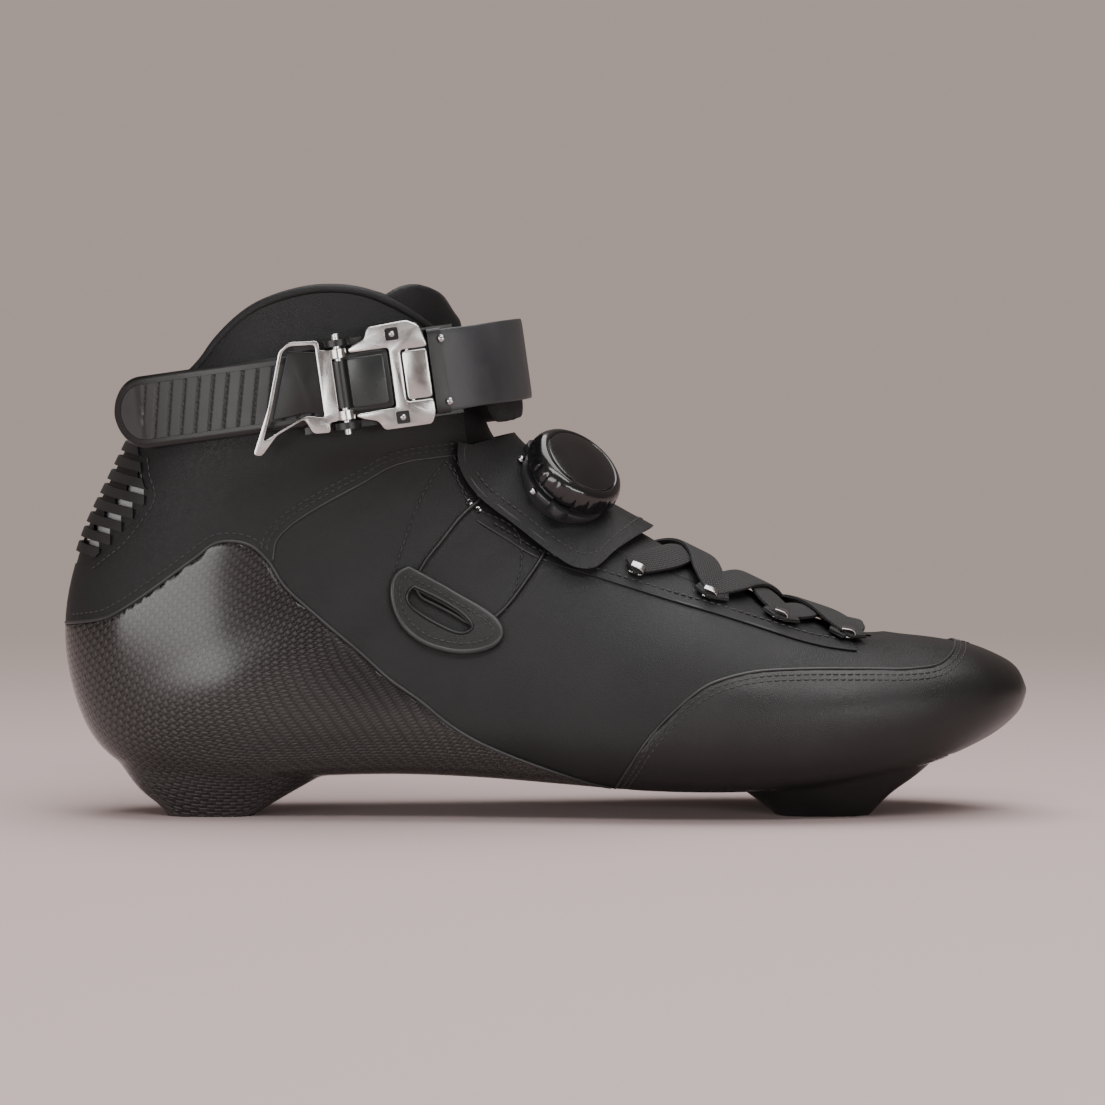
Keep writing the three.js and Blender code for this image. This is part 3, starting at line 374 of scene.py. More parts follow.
def modify(obj: bpy.types.Object, kind: str, **settings: object) -> None:
    """Adds a modifier and applies it.

    Args:
        obj: The object.
        kind: Blender's name for the modifier.
        settings: Values for the modifier's properties.
    """
    choose(obj)
    added = obj.modifiers.new(kind.title(), kind)
    for key, value in settings.items():
        setattr(added, key, value)
    bpy.ops.object.modifier_apply(modifier=added.name)


def round_edges(obj: bpy.types.Object, width: float, segments: int, degrees: float) -> None:
    """Rounds a piece's edges sharper than some degrees, to a width in millimetres."""
    modify(obj, "BEVEL", width=width * MM, segments=segments, limit_method="ANGLE",
           angle_limit=math.radians(degrees))


def soften(obj: bpy.types.Object, degrees: float = 32) -> bpy.types.Object:
    """Shades a piece smooth but for its sharp edges.

    Args:
        obj: The object.
        degrees: Edges sharper than this stay sharp.

    Returns:
        The object.
    """
    choose(obj)
    bpy.ops.object.shade_smooth_by_angle(angle=math.radians(degrees))
    return obj


def vertices(obj: bpy.types.Object) -> Array:
    """Reads a piece's vertices as places shaped (vertices, 3)."""
    co = np.zeros(len(obj.data.vertices) * 3)
    obj.data.vertices.foreach_get("co", co)
    return co.reshape(-1, 3)


def grid(name: str, rows: Array, uv: Array | None = None, capped: bool = True) -> bpy.types.Object:
    """Makes a closed piece from a stack of rings.

    Args:
        name: The piece's name.
        rows: Rings of points in metres, shaped (rings, points, 3).
        uv: Texture places in metres for the rings, shaped (rings, points + 1, 2).
        capped: True to close both ends; False to join the last ring to the first.

    Returns:
        The object.
    """
    rings = np.concatenate([rows, rows[:, :1]], 1)
    if uv is None:
        across_step = np.linalg.norm(np.diff(rings, axis=1), axis=2)
        around = np.concatenate([np.zeros((len(rings), 1)), np.cumsum(across_step, 1)], 1)
        middle = rows.mean(1)
        along = np.concatenate([[0], np.cumsum(np.linalg.norm(np.diff(middle, axis=0), axis=1))])
        uv = np.stack([np.broadcast_to(along[:, None], around.shape), around], -1)
    if capped:
        ends = [np.repeat(rings[k, :-1].mean(0)[None, None], rings.shape[1], 1) for k in (0, -1)]
        rings = np.concatenate([ends[0], rings, ends[1]])
        uv = np.concatenate([uv[:1], uv, uv[-1:]])
    else:
        rings = np.concatenate([rings, rings[:1]])
        uv = np.concatenate([uv, uv[:1]])
    count = rings.shape[1]
    bare()
    bpy.ops.mesh.primitive_grid_add(x_subdivisions=count - 1, y_subdivisions=len(rings) - 1, size=2)
    obj = taken(name)
    mesh = obj.data
    flat = vertices(obj)
    column = np.round((flat[:, 0] + 1) / 2 * (count - 1)).astype(int)
    row = np.round((flat[:, 1] + 1) / 2 * (len(rings) - 1)).astype(int)
    mesh.vertices.foreach_set("co", rings[row, column].ravel())
    layer = mesh.uv_layers.active or mesh.uv_layers.new(name="UVMap")
    corner = np.zeros(len(mesh.loops), int)
    mesh.loops.foreach_get("vertex_index", corner)
    layer.data.foreach_set("uv", uv[row[corner], column[corner]].ravel())
    mesh.update()
    tidy_faces(obj)
    return obj


def prism(name: str, outline: Array, y0: float, y1: float) -> bpy.types.Object:
    """Makes a slab from an outline, standing across the given plane's y.

    Args:
        name: The piece's name.
        outline: Points x, z of a closed outline, in metres.
        y0: One face's y, in metres.
        y1: The other face's y, in metres.

    Returns:
        The object.
    """
    count = len(outline)
    bare()
    bpy.ops.mesh.primitive_cylinder_add(vertices=count, radius=1, depth=2, end_fill_type="NGON")
    obj = taken(name)
    mesh = obj.data
    flat = vertices(obj)
    turn = np.round(np.arctan2(flat[:, 0], flat[:, 1]) / (2 * np.pi) * count).astype(int) % count
    places = outline[turn]
    y = np.where(flat[:, 2] < 0, y0, y1)
    mesh.vertices.foreach_set("co", np.stack([places[:, 0], y, places[:, 1]], -1).ravel())
    mesh.update()
    tidy_faces(obj)
    return obj


def combine(obj: bpy.types.Object, tool: bpy.types.Object, operation: Operation) -> bpy.types.Object:
    """Cuts, keeps or joins a piece with a tool, which is used up.

    Args:
        obj: The piece.
        tool: The other solid.
        operation: What to do.

    Returns:
        The piece.
    """
    modify(obj, "BOOLEAN", object=tool, operation=operation.value, solver="MANIFOLD")
    bpy.data.meshes.remove(tool.data)
    return obj


def across(outline: Array) -> bpy.types.Object:
    """Makes the solid that a side-view outline in millimetres covers, right across the boot."""
    places = outline * MM + SHIFT[[0, 2]]
    return prism("region", places, -0.09, 0.09)


def half_space(side: Side, gap: float = 0.15) -> bpy.types.Object:
    """Makes a block that holds one side of the boot.

    Args:
        side: Which side.
        gap: Distance from the middle in millimetres.

    Returns:
        The object, for use as a tool.
    """
    low, high = sorted((side.value * gap * MM, side.value * 0.12))
    bare()
    bpy.ops.mesh.primitive_cube_add(size=1, location=(0, 0, 0))
    obj = taken("half")
    corners = vertices(obj) + 0.5
    obj.data.vertices.foreach_set(
        "co", (corners * np.array([0.6, high - low, 0.4]) + np.array([-0.3, low + SHIFT[1], -0.1])).ravel()
    )
    return obj


def trim(
    obj: bpy.types.Object, keep: Sequence[Array], cut: Sequence[Array] = (), side: Side | None = None
) -> bpy.types.Object:
    """Trims a piece to side-view outlines.

    Args:
        obj: The piece.
        keep: Outlines that it stays inside of.
        cut: Outlines that it stays outside of.
        side: Its side of the foot, or None if it goes right across.

    Returns:
        The piece.
    """
    for outline in keep:
        combine(obj, across(outline), Operation.KEEP)
    for outline in cut:
        combine(obj, across(outline), Operation.CUT)
    if side:
        combine(obj, half_space(side), Operation.KEEP)
    return obj


@dataclass(frozen=True)
class Layer:
    """A layer of the boot between two heights above its surface.

    Attributes:
        inner: Height of the inner face in millimetres.
        outer: Height of the outer face in millimetres.
        start: First section.
        stop: Last section.
        waves: Height of the soft unevenness in millimetres.
    """

    inner: float
    outer: float
    start: float = 0.2
    stop: float = 21.98
    waves: float = 0.0

    def build(self, name: str, step: float = 0.15, columns: int = 150) -> bpy.types.Object:
        """Builds the layer all round the boot.

        Args:
            name: The piece's name.
            step: Distance between rings, in sections.
            columns: Points on each ring.

        Returns:
            The object.
        """
        tip = 19.5
        stations = np.arange(self.start, min(self.stop, tip), step)
        if self.stop > tip:
            stations = np.concatenate([stations, np.linspace(tip, self.stop, 34)])
        else:
            stations = np.append(stations, self.stop)
        girth = -1 + (2 * np.arange(columns + 1) + 0.5) / columns
        v, g = np.meshgrid(stations, girth, indexing="ij")
        uneven = self.waves * (
            np.sin(2.1 * v + 5 * g) * np.sin(3.3 * g * np.pi + 1.3 * v)
            + 0.6 * np.sin(4.4 * v - 7 * np.pi * g)
        )
        uneven = uneven * np.clip((self.stop - v) / 2, 0, 1)
        outer = to_frame(LAST.skin(v, g, self.outer + uneven))
        inner = to_frame(LAST.skin(v, g, np.full_like(v, self.inner)))
        ring_step = np.linalg.norm(np.diff(outer, axis=1), axis=2)
        around = np.concatenate([np.zeros((len(v), 1)), np.cumsum(ring_step, 1)], 1)
        around -= around[:, columns // 2][:, None]
        length = np.linalg.norm(np.diff(outer[:, columns // 4], axis=0), axis=1)
        along = np.broadcast_to(np.concatenate([[0], np.cumsum(length)])[:, None], around.shape)
        uv = np.stack([along, around], -1)
        rows = np.concatenate([outer[:, :-1], inner[::-1, :-1]])
        return grid(name, rows, np.concatenate([uv, uv[::-1]]), capped=False)


def core(name: str, first: float, last: float, rings: int, lift: float) -> bpy.types.Object:
    """Makes the solid that fills the boot between two sections.

    Args:
        name: The piece's name.
        first: First section.
        last: Last section.
        rings: Number of sections.
        lift: Height of its skin above the boot's surface in millimetres.

    Returns:
        The object.
    """
    sides = 96
    girth = -1 + (2 * np.arange(sides) + 0.5) / sides
    v, g = np.meshgrid(np.linspace(first, last, rings), girth, indexing="ij")
    return grid(name, to_frame(LAST.skin(v, g, np.full_like(v, lift))))


def sweep(
    name: str,
    points: Array,
    normals: Array,
    section: Array | Callable[[float], Array],
) -> bpy.types.Object:
    """Runs a cross-section along a line.

    Args:
        name: The piece's name.
        points: The line's points, in metres.
        normals: Which way is up at each point.
        section: Points of the cross-section as (sideways, up), in metres, or a function of the share of
            the way along that gives them.

    Returns:
        The object.
    """
    tangent = np.gradient(points, axis=0)
    tangent /= np.linalg.norm(tangent, axis=1, keepdims=True) + 1e-12
    sideways = np.cross(tangent, normals)
    sideways /= np.linalg.norm(sideways, axis=1, keepdims=True) + 1e-12
    up = np.cross(sideways, tangent)
    rows = []
    for i, point in enumerate(points):
        shape = section(i / (len(points) - 1)) if callable(section) else section
        rows.append(point + shape[:, :1] * sideways[i] + shape[:, 1:] * up[i])
    return grid(name, np.array(rows))


def melt(obj: bpy.types.Object, voxel: float, span: Place, top: float, iterations: int) -> None:
    """Rebuilds a piece as one even skin and rounds off where its block meets it.

    Args:
        obj: The piece.
        voxel: Size of the new faces in millimetres.
        span: First and last x of the part to round off, in millimetres from the heel.
        top: Height in millimetres where the rounding ends.
        iterations: How often it is smoothed.
    """
    modify(obj, "REMESH", mode="VOXEL", voxel_size=voxel * MM)
    co = vertices(obj)
    x, z = (co[:, 0] - SHIFT[0]) / MM, co[:, 2] / MM
    inside = np.clip((x - span[0]) / 6, 0, 1) * np.clip((span[1] - x) / 6, 0, 1)
    weight = inside * np.clip((z - 1.2) / 3, 0, 1) * np.clip((top - z) / 8, 0, 1)
    group = obj.vertex_groups.new(name="melt")
    for level in range(1, 11):
        chosen = np.nonzero(np.round(weight * 10) == level)[0]
        group.add(chosen.tolist(), level / 10, "REPLACE")
    modify(obj, "SMOOTH", factor=0.5, iterations=iterations, vertex_group="melt")
    co = vertices(obj)
    co[:, 2] = np.where(co[:, 2] < 0.4 * MM, 0.0, co[:, 2])
    obj.data.vertices.foreach_set("co", co.ravel())
    obj.data.update()


def lay_weave(obj: bpy.types.Object) -> None:
    """Writes texture places in metres that run along and around the boot.

    Args:
        obj: The piece.
    """
    stations = np.arange(2.6, 20.6, 0.06)
    girth = np.linspace(-0.99, 0.99, 300)
    v, g = np.meshgrid(stations, girth, indexing="ij")
    points = to_frame(LAST.point(v, g))
    around = np.concatenate(
        [np.zeros((len(v), 1)), np.cumsum(np.linalg.norm(np.diff(points, axis=1), axis=2), 1)], 1)
    around -= around[:, 150][:, None]
    length = np.linalg.norm(np.diff(points[:, 75], axis=0), axis=1)
    along = np.broadcast_to(np.concatenate([[0], np.cumsum(length)])[:, None], around.shape)
    tree = KDTree(points.shape[0] * points.shape[1])
    flat = points.reshape(-1, 3)
    for i, point in enumerate(flat):
        tree.insert(point, i)
    tree.balance()
    places = vertices(obj)
    near = np.array([tree.find(place)[1] for place in places])
    steps = [np.gradient(points, axis=k).reshape(-1, 3)[near] for k in (0, 1)]
    apart = places - flat[near]
    a, b, c = ((p * q).sum(1) for p, q in ((steps[0], steps[0]), (steps[0], steps[1]), (steps[1], steps[1])))
    d, e = ((apart * p).sum(1) for p in steps)
    scale = np.maximum(a * c - b * b, 1e-20)
    move = ((c * d - b * e) / scale, (a * e - b * d) / scale)
    found = []
    for field_values in (along, around):
        slope = [np.gradient(field_values, axis=k).ravel()[near] for k in (0, 1)]
        found.append(np.asarray(field_values).ravel()[near] + move[0] * slope[0] + move[1] * slope[1])
    normal = np.cross(steps[0], steps[1])
    normal /= np.maximum(np.linalg.norm(normal, axis=1, keepdims=True), 1e-12)
    found[1] -= np.sign(found[1]) * np.abs((apart * normal).sum(1))
    uv = np.stack(found, -1)
    layer = obj.data.uv_layers.active or obj.data.uv_layers.new(name="UVMap")
    corner = np.zeros(len(obj.data.loops), int)
    obj.data.loops.foreach_get("vertex_index", corner)
    layer.data.foreach_set("uv", uv[corner].ravel())


def round_section(radius: float, count: int = 12) -> Array:
    """Draws a round cross-section with its radius in metres."""
    angle = 2 * np.pi * np.arange(count) / count
    return radius * np.stack([np.cos(angle), np.sin(angle)], -1)


def flat_section(width: float, thickness: float, count: int = 28, fullness: float = 5.0) -> Array:
    """Draws a flat cross-section with round edges that stands on its line.

    Args:
        width: Width in metres.
        thickness: Thickness in metres.
        count: Number of points.
        fullness: How square the section is.

    Returns:
        The cross-section.
    """
    angle = 2 * np.pi * (np.arange(count) + 0.5) / count
    c, s = np.cos(angle), np.sin(angle)
    x = np.sign(c) * np.abs(c) ** (2 / fullness) * width / 2
    y = np.sign(s) * np.abs(s) ** (2 / fullness) * thickness / 2 + thickness / 2
    return np.stack([x, y], -1)


def lathe(name: str, profile: Sequence[Place], sides: int = 96) -> bpy.types.Object:
    """Turns a profile about the z axis.

    Args:
        name: The piece's name.
        profile: Pairs of radius and height in millimetres, as a closed outline or from axis to axis.
        sides: Points round the axis.

    Returns:
        The object, about the origin.
    """
    angle = 2 * np.pi * np.arange(sides) / sides
    rows = [[(r * math.cos(a) * MM, r * math.sin(a) * MM, z * MM) for a in angle] for r, z in profile]
    return grid(name, np.array(rows))


def settle(obj: bpy.types.Object, matrix: Matrix) -> bpy.types.Object:
    """Moves a piece's mesh by a matrix and leaves the object at the origin."""
    obj.data.transform(matrix)
    obj.data.update()
    return obj


def repeat(name: str, pattern: bpy.types.Object, matrices: Sequence[Matrix]) -> bpy.types.Object:
    """Joins many copies of a small piece in one mesh; the pattern is used up.

    Args:
        name: The new piece's name.
        pattern: The piece to copy.
        matrices: Where each copy goes.

    Returns:
        The object.
    """
    mesh = pattern.data
    co = vertices(pattern)
    faces = [list(p.vertices) for p in mesh.polygons]
    points, polygons = [], []
    for k, matrix in enumerate(matrices):
        turn = np.array(matrix.to_3x3())
        points.append(co @ turn.T + np.array(matrix.translation))
        polygons += [[i + k * len(co) for i in face] for face in faces]
    made = bpy.data.meshes.new(name)
    made.from_pydata(np.concatenate(points).tolist(), [], polygons)
    obj = bpy.data.objects.new(name.replace(" ", "_") + "_look", made)
    bpy.context.scene.collection.objects.link(obj)
    bpy.data.meshes.remove(mesh)
    return soften(obj, 50)


def on_boot(places: Sequence[Place] | Array, side: Side, lift: float) -> tuple[Array, Array]:
    """Lays side-view places on the boot.

    Args:
        places: Pairs of x and z in millimetres.
        side: Which side of the foot.
        lift: Height above the surface in millimetres.

    Returns:
        Points in metres and the normals there.
    """
    v, g = LAST.locate(places, side)
    return to_frame(LAST.skin(v, g, lift)), LAST.normal(v, g)


def bead(name: str, places: Array, side: Side, lift: float, radius: float) -> bpy.types.Object:
    """Runs a thin round edge along a side-view line; its height and radius are in millimetres."""
    points, normals = on_boot(places, side, lift)
    return sweep(name, points, normals, round_section(radius * MM, 8))


def stitch_frames(points: Array, normals: Array, pitch: float) -> list[Matrix]:
    """Places stitches along a line.

    Args:
        points: The line's points, in metres.
        normals: The normals there.
        pitch: Distance from stitch to stitch in millimetres.

    Returns:
        A matrix for each stitch.
    """
    both = evenly(np.concatenate([points, normals * 1e-6], 1), pitch * MM)
    frames = []
    for i in range(len(both) - 1):
        ahead = Vector(both[i + 1, :3] - both[i, :3]).normalized()
        up = Vector(both[i, 3:]).normalized()
        sideways = up.cross(ahead).normalized()
        turn = Matrix((ahead, sideways, ahead.cross(sideways))).transposed().to_4x4()
        frames.append(Matrix.Translation(Vector((both[i, :3] + both[i + 1, :3]) / 2)) @ turn)
    return frames


def stitches(
    name: str, lines: Sequence[tuple[Array, Side, float]], pitch: float = 2.3, thread: float = 0.3
) -> bpy.types.Object:
    """Sews rows of stitches.

    Args:
        name: The piece's name.
        lines: For each row its side-view places, its side and its height above the surface.
        pitch: Distance from stitch to stitch in millimetres.
        thread: Radius of the thread in millimetres.

    Returns:
        The object.
    """
    bare()
    bpy.ops.mesh.primitive_uv_sphere_add(segments=8, ring_count=6, radius=1)
    one = taken("stitch")
    bpy.ops.transform.resize(
        value=(pitch * 0.39 * MM, thread * MM, thread * 0.8 * MM), center_override=(0, 0, 0)
    )
    bpy.ops.object.transform_apply(location=True, rotation=True, scale=True)
    frames: list[Matrix] = []
    for places, side, lift in lines:
        frames += stitch_frames(*on_boot(places, side, lift), pitch)
    return repeat(name, one, frames)


# ------------------------------------------------------------------ finishes
def effect(
    name: str, inputs: dict[str, float], outputs: Sequence[str]
) -> tuple[bpy.types.NodeTree, bpy.types.Node, bpy.types.Node]:
    """Starts a node group for a shared effect.

    Args:
        name: The group's name.
        inputs: Names and default values of its inputs.
        outputs: Names of its outputs.

    Returns:
        The group, its input node and its output node.
    """
    group = bpy.data.node_groups.new(name, "ShaderNodeTree")
    group.interface.new_socket("Vector", in_out="INPUT", socket_type="NodeSocketVector")
    for key, value in inputs.items():
        group.interface.new_socket(key, in_out="INPUT", socket_type="NodeSocketFloat").default_value = value
    for key in outputs:
        group.interface.new_socket(key, in_out="OUTPUT", socket_type="NodeSocketFloat")
    return group, group.nodes.new("NodeGroupInput"), group.nodes.new("NodeGroupOutput")


def math_node(tree: bpy.types.NodeTree, operation: str, *values: object) -> bpy.types.NodeSocket:
    """Adds a math node.

    Args:
        tree: The node tree.
        operation: Blender's name for the operation.
        values: Numbers or sockets for its inputs.

    Returns:
        Its output.
    """
    node = tree.nodes.new("ShaderNodeMath")
    node.operation = operation
    for socket, value in zip(node.inputs, values):
        if isinstance(value, (int, float)):
            socket.default_value = value
        else:
            tree.links.new(value, socket)
    return node.outputs[0]


def hide_effect() -> bpy.types.NodeTree:
    """Builds the grain of leather: small cells, finer pores and broad cloudy wear.

    Returns:
        The group, with outputs Height and Wear.
    """
    group, start, end = effect("hide", {"Cell": 900.0, "Cloud": 22.0}, ("Height", "Wear"))
    nodes, links = group.nodes, group.links
    cells = nodes.new("ShaderNodeTexVoronoi")
    cells.feature = "DISTANCE_TO_EDGE"
    pores = nodes.new("ShaderNodeTexNoise")
    pores.inputs["Detail"].default_value = 4
    cloud = nodes.new("ShaderNodeTexNoise")
    cloud.inputs["Detail"].default_value = 5
    for node in (cells, pores, cloud):
        links.new(start.outputs["Vector"], node.inputs["Vector"])
    links.new(start.outputs["Cell"], cells.inputs["Scale"])
    links.new(math_node(group, "MULTIPLY", start.outputs["Cell"], 2.3), pores.inputs["Scale"])
    links.new(start.outputs["Cloud"], cloud.inputs["Scale"])
    crease = math_node(group, "MINIMUM", math_node(group, "MULTIPLY", cells.outputs["Distance"], 3.0), 1.0)
    height = math_node(group, "ADD", crease, math_node(group, "MULTIPLY", pores.outputs["Fac"], 0.7))
    links.new(height, end.inputs["Height"])
    links.new(cloud.outputs["Fac"], end.inputs["Wear"])
    return group


def weave_effect() -> bpy.types.NodeTree:
    """Builds a plain weave over texture places in metres.

    Returns:
        The group, with outputs Height, Warp (1 where the lengthwise yarn is on top) and Gap.
    """
    group, start, end = effect("weave", {"Along": 1000.0, "Across": 1000.0}, ("Height", "Warp", "Gap"))
    nodes, links = group.nodes, group.links
    parts = nodes.new("ShaderNodeSeparateXYZ")
    links.new(start.outputs["Vector"], parts.inputs[0])
    u = math_node(group, "MULTIPLY", parts.outputs["X"], start.outputs["Along"])
    v = math_node(group, "MULTIPLY", parts.outputs["Y"], start.outputs["Across"])
    cell = math_node(group, "ADD", math_node(group, "FLOOR", u), math_node(group, "FLOOR", v))
    warp = math_node(group, "ABSOLUTE", math_node(group, "MODULO", cell, 2.0))
    ridges = []
    for axis in (u, v):
        phase = math_node(group, "SUBTRACT", math_node(group, "FRACT", axis), 0.5)
        ridges.append(math_node(group, "COSINE", math_node(group, "MULTIPLY", phase, math.pi)))
    across_warp = math_node(group, "MULTIPLY", ridges[1], warp)
    across_weft = math_node(group, "MULTIPLY", ridges[0], math_node(group, "SUBTRACT", 1.0, warp))
    both = math_node(group, "ADD", across_warp, across_weft)
    dome = math_node(group, "POWER", math_node(group, "MULTIPLY", ridges[0], ridges[1]), 0.4)
    links.new(math_node(group, "ADD", math_node(group, "MULTIPLY", both, 0.5), dome), end.inputs["Height"])
    links.new(warp, end.inputs["Warp"])
    links.new(dome, end.inputs["Gap"])
    return group


def speckle_effect() -> bpy.types.NodeTree:
    """Builds the faint unevenness of moulded plastic, metal and rubber.

    Returns:
        The group, with outputs Height and Wear.
    """
    group, start, end = effect("speckle", {"Fine": 1500.0, "Cloud": 60.0}, ("Height", "Wear"))
    for key, output, detail in (("Fine", "Height", 3.0), ("Cloud", "Wear", 6.0)):
        noise = group.nodes.new("ShaderNodeTexNoise")
        noise.inputs["Detail"].default_value = detail
        group.links.new(start.outputs["Vector"], noise.inputs["Vector"])
        group.links.new(start.outputs[key], noise.inputs["Scale"])
        group.links.new(noise.outputs["Fac"], end.inputs[output])
    return group


for build_effect in (hide_effect, weave_effect, speckle_effect):
    build_effect()


@dataclass(frozen=True)
class Finish:
    """A surface finish.

    Attributes:
        name: The finish's name.
        slot: The record's material slot; not used.
        colour: Linear base colour.
        worn: Linear colour of the lighter places.
        rough: Roughness at its smoothest and at its dullest.
        metal: Metallic share.
        coat: Clear coat share.
        bump: Height of the fine structure in metres.
        effect: The shared effect.
        fine: Scale of the fine structure.
        second: Scale of the broad structure, or of the weave's other direction.
        woven: True to use texture places instead of object coordinates.
        shine: Strength of the surface reflection.
        glaze: Roughness of the clear coat.
    """

    name: str
    slot: str
    colour: tuple[float, float, float]
    worn: tuple[float, float, float]
    rough: tuple[float, float] = (0.45, 0.6)
    metal: float = 0.0
    coat: float = 0.0
    bump: float = 0.00004
    effect: str = "speckle"
    fine: float = 1500.0
    second: float = 60.0
    woven: bool = False
    shine: float = 0.5
    glaze: float = 0.08

    def material(self) -> bpy.types.Material:
        """Builds the material, or finds it if it is already there.

        Returns:
            The material.
        """
        if self.name in bpy.data.materials:
            return bpy.data.materials[self.name]
        made = bpy.data.materials.new(self.name)
        made.use_nodes = True
        tree = made.node_tree
        shader = tree.nodes["Principled BSDF"]
        shader.inputs["Metallic"].default_value = self.metal
        shader.inputs["Coat Weight"].default_value = self.coat
        shader.inputs["Coat Roughness"].default_value = self.glaze
        shader.inputs["Specular IOR Level"].default_value = self.shine
        places = tree.nodes.new("ShaderNodeTexCoord")
        group = tree.nodes.new("ShaderNodeGroup")
        group.node_tree = bpy.data.node_groups[self.effect]
        tree.links.new(places.outputs["UV" if self.woven else "Object"], group.inputs["Vector"])
        group.inputs[1].default_value = self.fine
        group.inputs[2].default_value = self.second
        share = group.outputs[1]
        self.blend(tree, share, shader)
        bump = tree.nodes.new("ShaderNodeBump")
        bump.inputs["Distance"].default_value = self.bump
        tree.links.new(group.outputs["Height"], bump.inputs["Height"])
        tree.links.new(bump.outputs["Normal"], shader.inputs["Normal"])
        return made

    def blend(self, tree: bpy.types.NodeTree, share: bpy.types.NodeSocket, shader: bpy.types.Node) -> None:
        """Varies colour and roughness between the two states of the finish.

        Args:
            tree: The material's node tree.
            share: 0 to 1, how far towards the second state.
            shader: The material's shader.
        """
        mix = tree.nodes.new("ShaderNodeMix")
        mix.data_type = "RGBA"
        mix.inputs[6].default_value = (*self.colour, 1)
        mix.inputs[7].default_value = (*self.worn, 1)
        spread = tree.nodes.new("ShaderNodeMapRange")
        spread.inputs["From Min"].default_value = 0.0 if self.effect == "weave" else 0.35
        spread.inputs["From Max"].default_value = 1.0 if self.effect == "weave" else 0.7
        rough = tree.nodes.new("ShaderNodeMapRange")
        rough.inputs["To Min"].default_value = self.rough[0]
        rough.inputs["To Max"].default_value = self.rough[1]
        tree.links.new(share, spread.inputs["Value"])
        tree.links.new(spread.outputs[0], mix.inputs[0])
        tree.links.new(spread.outputs[0], rough.inputs["Value"])
        tree.links.new(mix.outputs[2], shader.inputs["Base Color"])
        tree.links.new(rough.outputs[0], shader.inputs["Roughness"])


LEATHER = Finish(
    "black leather", "leather", (0.0105, 0.0107, 0.0112), (0.0165, 0.0168, 0.0174), (0.4, 0.52),
    bump=0.00006, effect="hide", fine=1700, second=30, shine=0.25
)
TOE_LEATHER = Finish(
    "smooth toe leather", "toe_leather", (0.0045, 0.0045, 0.0047), (0.0085, 0.0085, 0.0088), (0.3, 0.46),
    bump=0.00003, effect="hide", fine=1500, second=36, shine=0.45
)
CARBON = Finish(
    "coated carbon weave", "carbon", (0.0025, 0.0024, 0.0023), (0.02, 0.019, 0.018), (0.26, 0.46),
    metal=0.3, coat=0.9, bump=0.00042, effect="weave", fine=640, second=640, woven=True, glaze=0.2
)
TONGUE_LEATHER = Finish(
    "soft tongue leather", "leather", (0.01, 0.01, 0.0105), (0.016, 0.016, 0.0165), (0.5, 0.62),
    bump=0.00006, effect="hide", fine=1500, second=30
)
KNIT = Finish(
    "brushed lining", "lining", (0.01, 0.01, 0.0105), (0.02, 0.02, 0.021), (0.8, 0.95), bump=0.0002,
    effect="hide", fine=1800, second=60
)
WEBBING = Finish(
    "flat woven lace", "webbing", (0.012, 0.012, 0.0125), (0.026, 0.026, 0.027), (0.6, 0.8), bump=0.0002,
    effect="weave", fine=1250, second=1250, woven=True
)
STRAP_FINISH = Finish(
    "satin strap", "grey_plastic", (0.026, 0.028, 0.031), (0.036, 0.038, 0.042), (0.34, 0.5), bump=0.00004,
    fine=900, second=70
)
LADDER_GREY = Finish(
    "grey ladder face", "grey_plastic", (0.024, 0.024, 0.026), (0.034, 0.034, 0.036), (0.42, 0.55),
    bump=0.00003
)
BLACK_PLASTIC = Finish(
    "black moulded plastic", "black_plastic", (0.003, 0.003, 0.0032), (0.006, 0.006, 0.0064), (0.3, 0.42),
    bump=0.00002
)
GLOSS_PLASTIC = Finish(
    "gloss black plastic", "black_plastic", (0.005, 0.005, 0.0055), (0.009, 0.009, 0.01), (0.12, 0.22),
    coat=0.4, bump=0.00001
)
RUBBER = Finish(
    "ribbed rubber", "rubber", (0.008, 0.008, 0.008), (0.014, 0.014, 0.014), (0.55, 0.7), bump=0.00006
)
SILVER = Finish(
    "polished silver", "silver", (0.55, 0.55, 0.54), (0.68, 0.68, 0.67), (0.16, 0.3), metal=1.0,
    bump=0.00001, second=140
)
STEEL = Finish(
    "polished steel", "steel", (0.4, 0.4, 0.41), (0.55, 0.55, 0.56), (0.14, 0.28), metal=1.0, bump=0.00001,
    second=180
)
REFLECTIVE = Finish(
    "light backing", "silver", (0.55, 0.56, 0.57), (0.7, 0.71, 0.72), (0.4, 0.6), metal=0.2, bump=0.00002
)
THREAD = Finish(
    "sewing thread", "webbing", (0.016, 0.016, 0.0165), (0.034, 0.034, 0.035), (0.5, 0.65), bump=0.00003,
    fine=4000
)
# Edge beads and guide rims: lighter than the leather, partly a burnished edge and partly a painted highlight
# along the rolled edge.
EDGE_AND_PAINTED_HIGHLIGHT = Finish(
    "burnished edge", "leather", (0.02, 0.02, 0.0205), (0.034, 0.034, 0.035), (0.3, 0.45), bump=0.00002
)
PLATE_GREEN = Finish(
    "smooth dark plate", "grey_plastic", (0.02, 0.024, 0.024), (0.03, 0.035, 0.034), (0.22, 0.36),
    bump=0.00001
)
GUIDE_LEATHER = Finish(
    "moulded guide", "black_plastic", (0.006, 0.006, 0.0062), (0.011, 0.011, 0.0112), (0.36, 0.5),
    bump=0.00005, effect="hide", fine=1300, second=40, shine=0.35
)
BASE_GREY = Finish(
    "dial base plastic", "black_plastic", (0.02, 0.021, 0.023), (0.035, 0.036, 0.039), (0.25, 0.4),
    bump=0.00002
)
CABLE = Finish(
    "coated cable", "steel", (0.012, 0.012, 0.0125), (0.03, 0.03, 0.031), (0.3, 0.45), metal=0.3,
    bump=0.00003, fine=2600
)


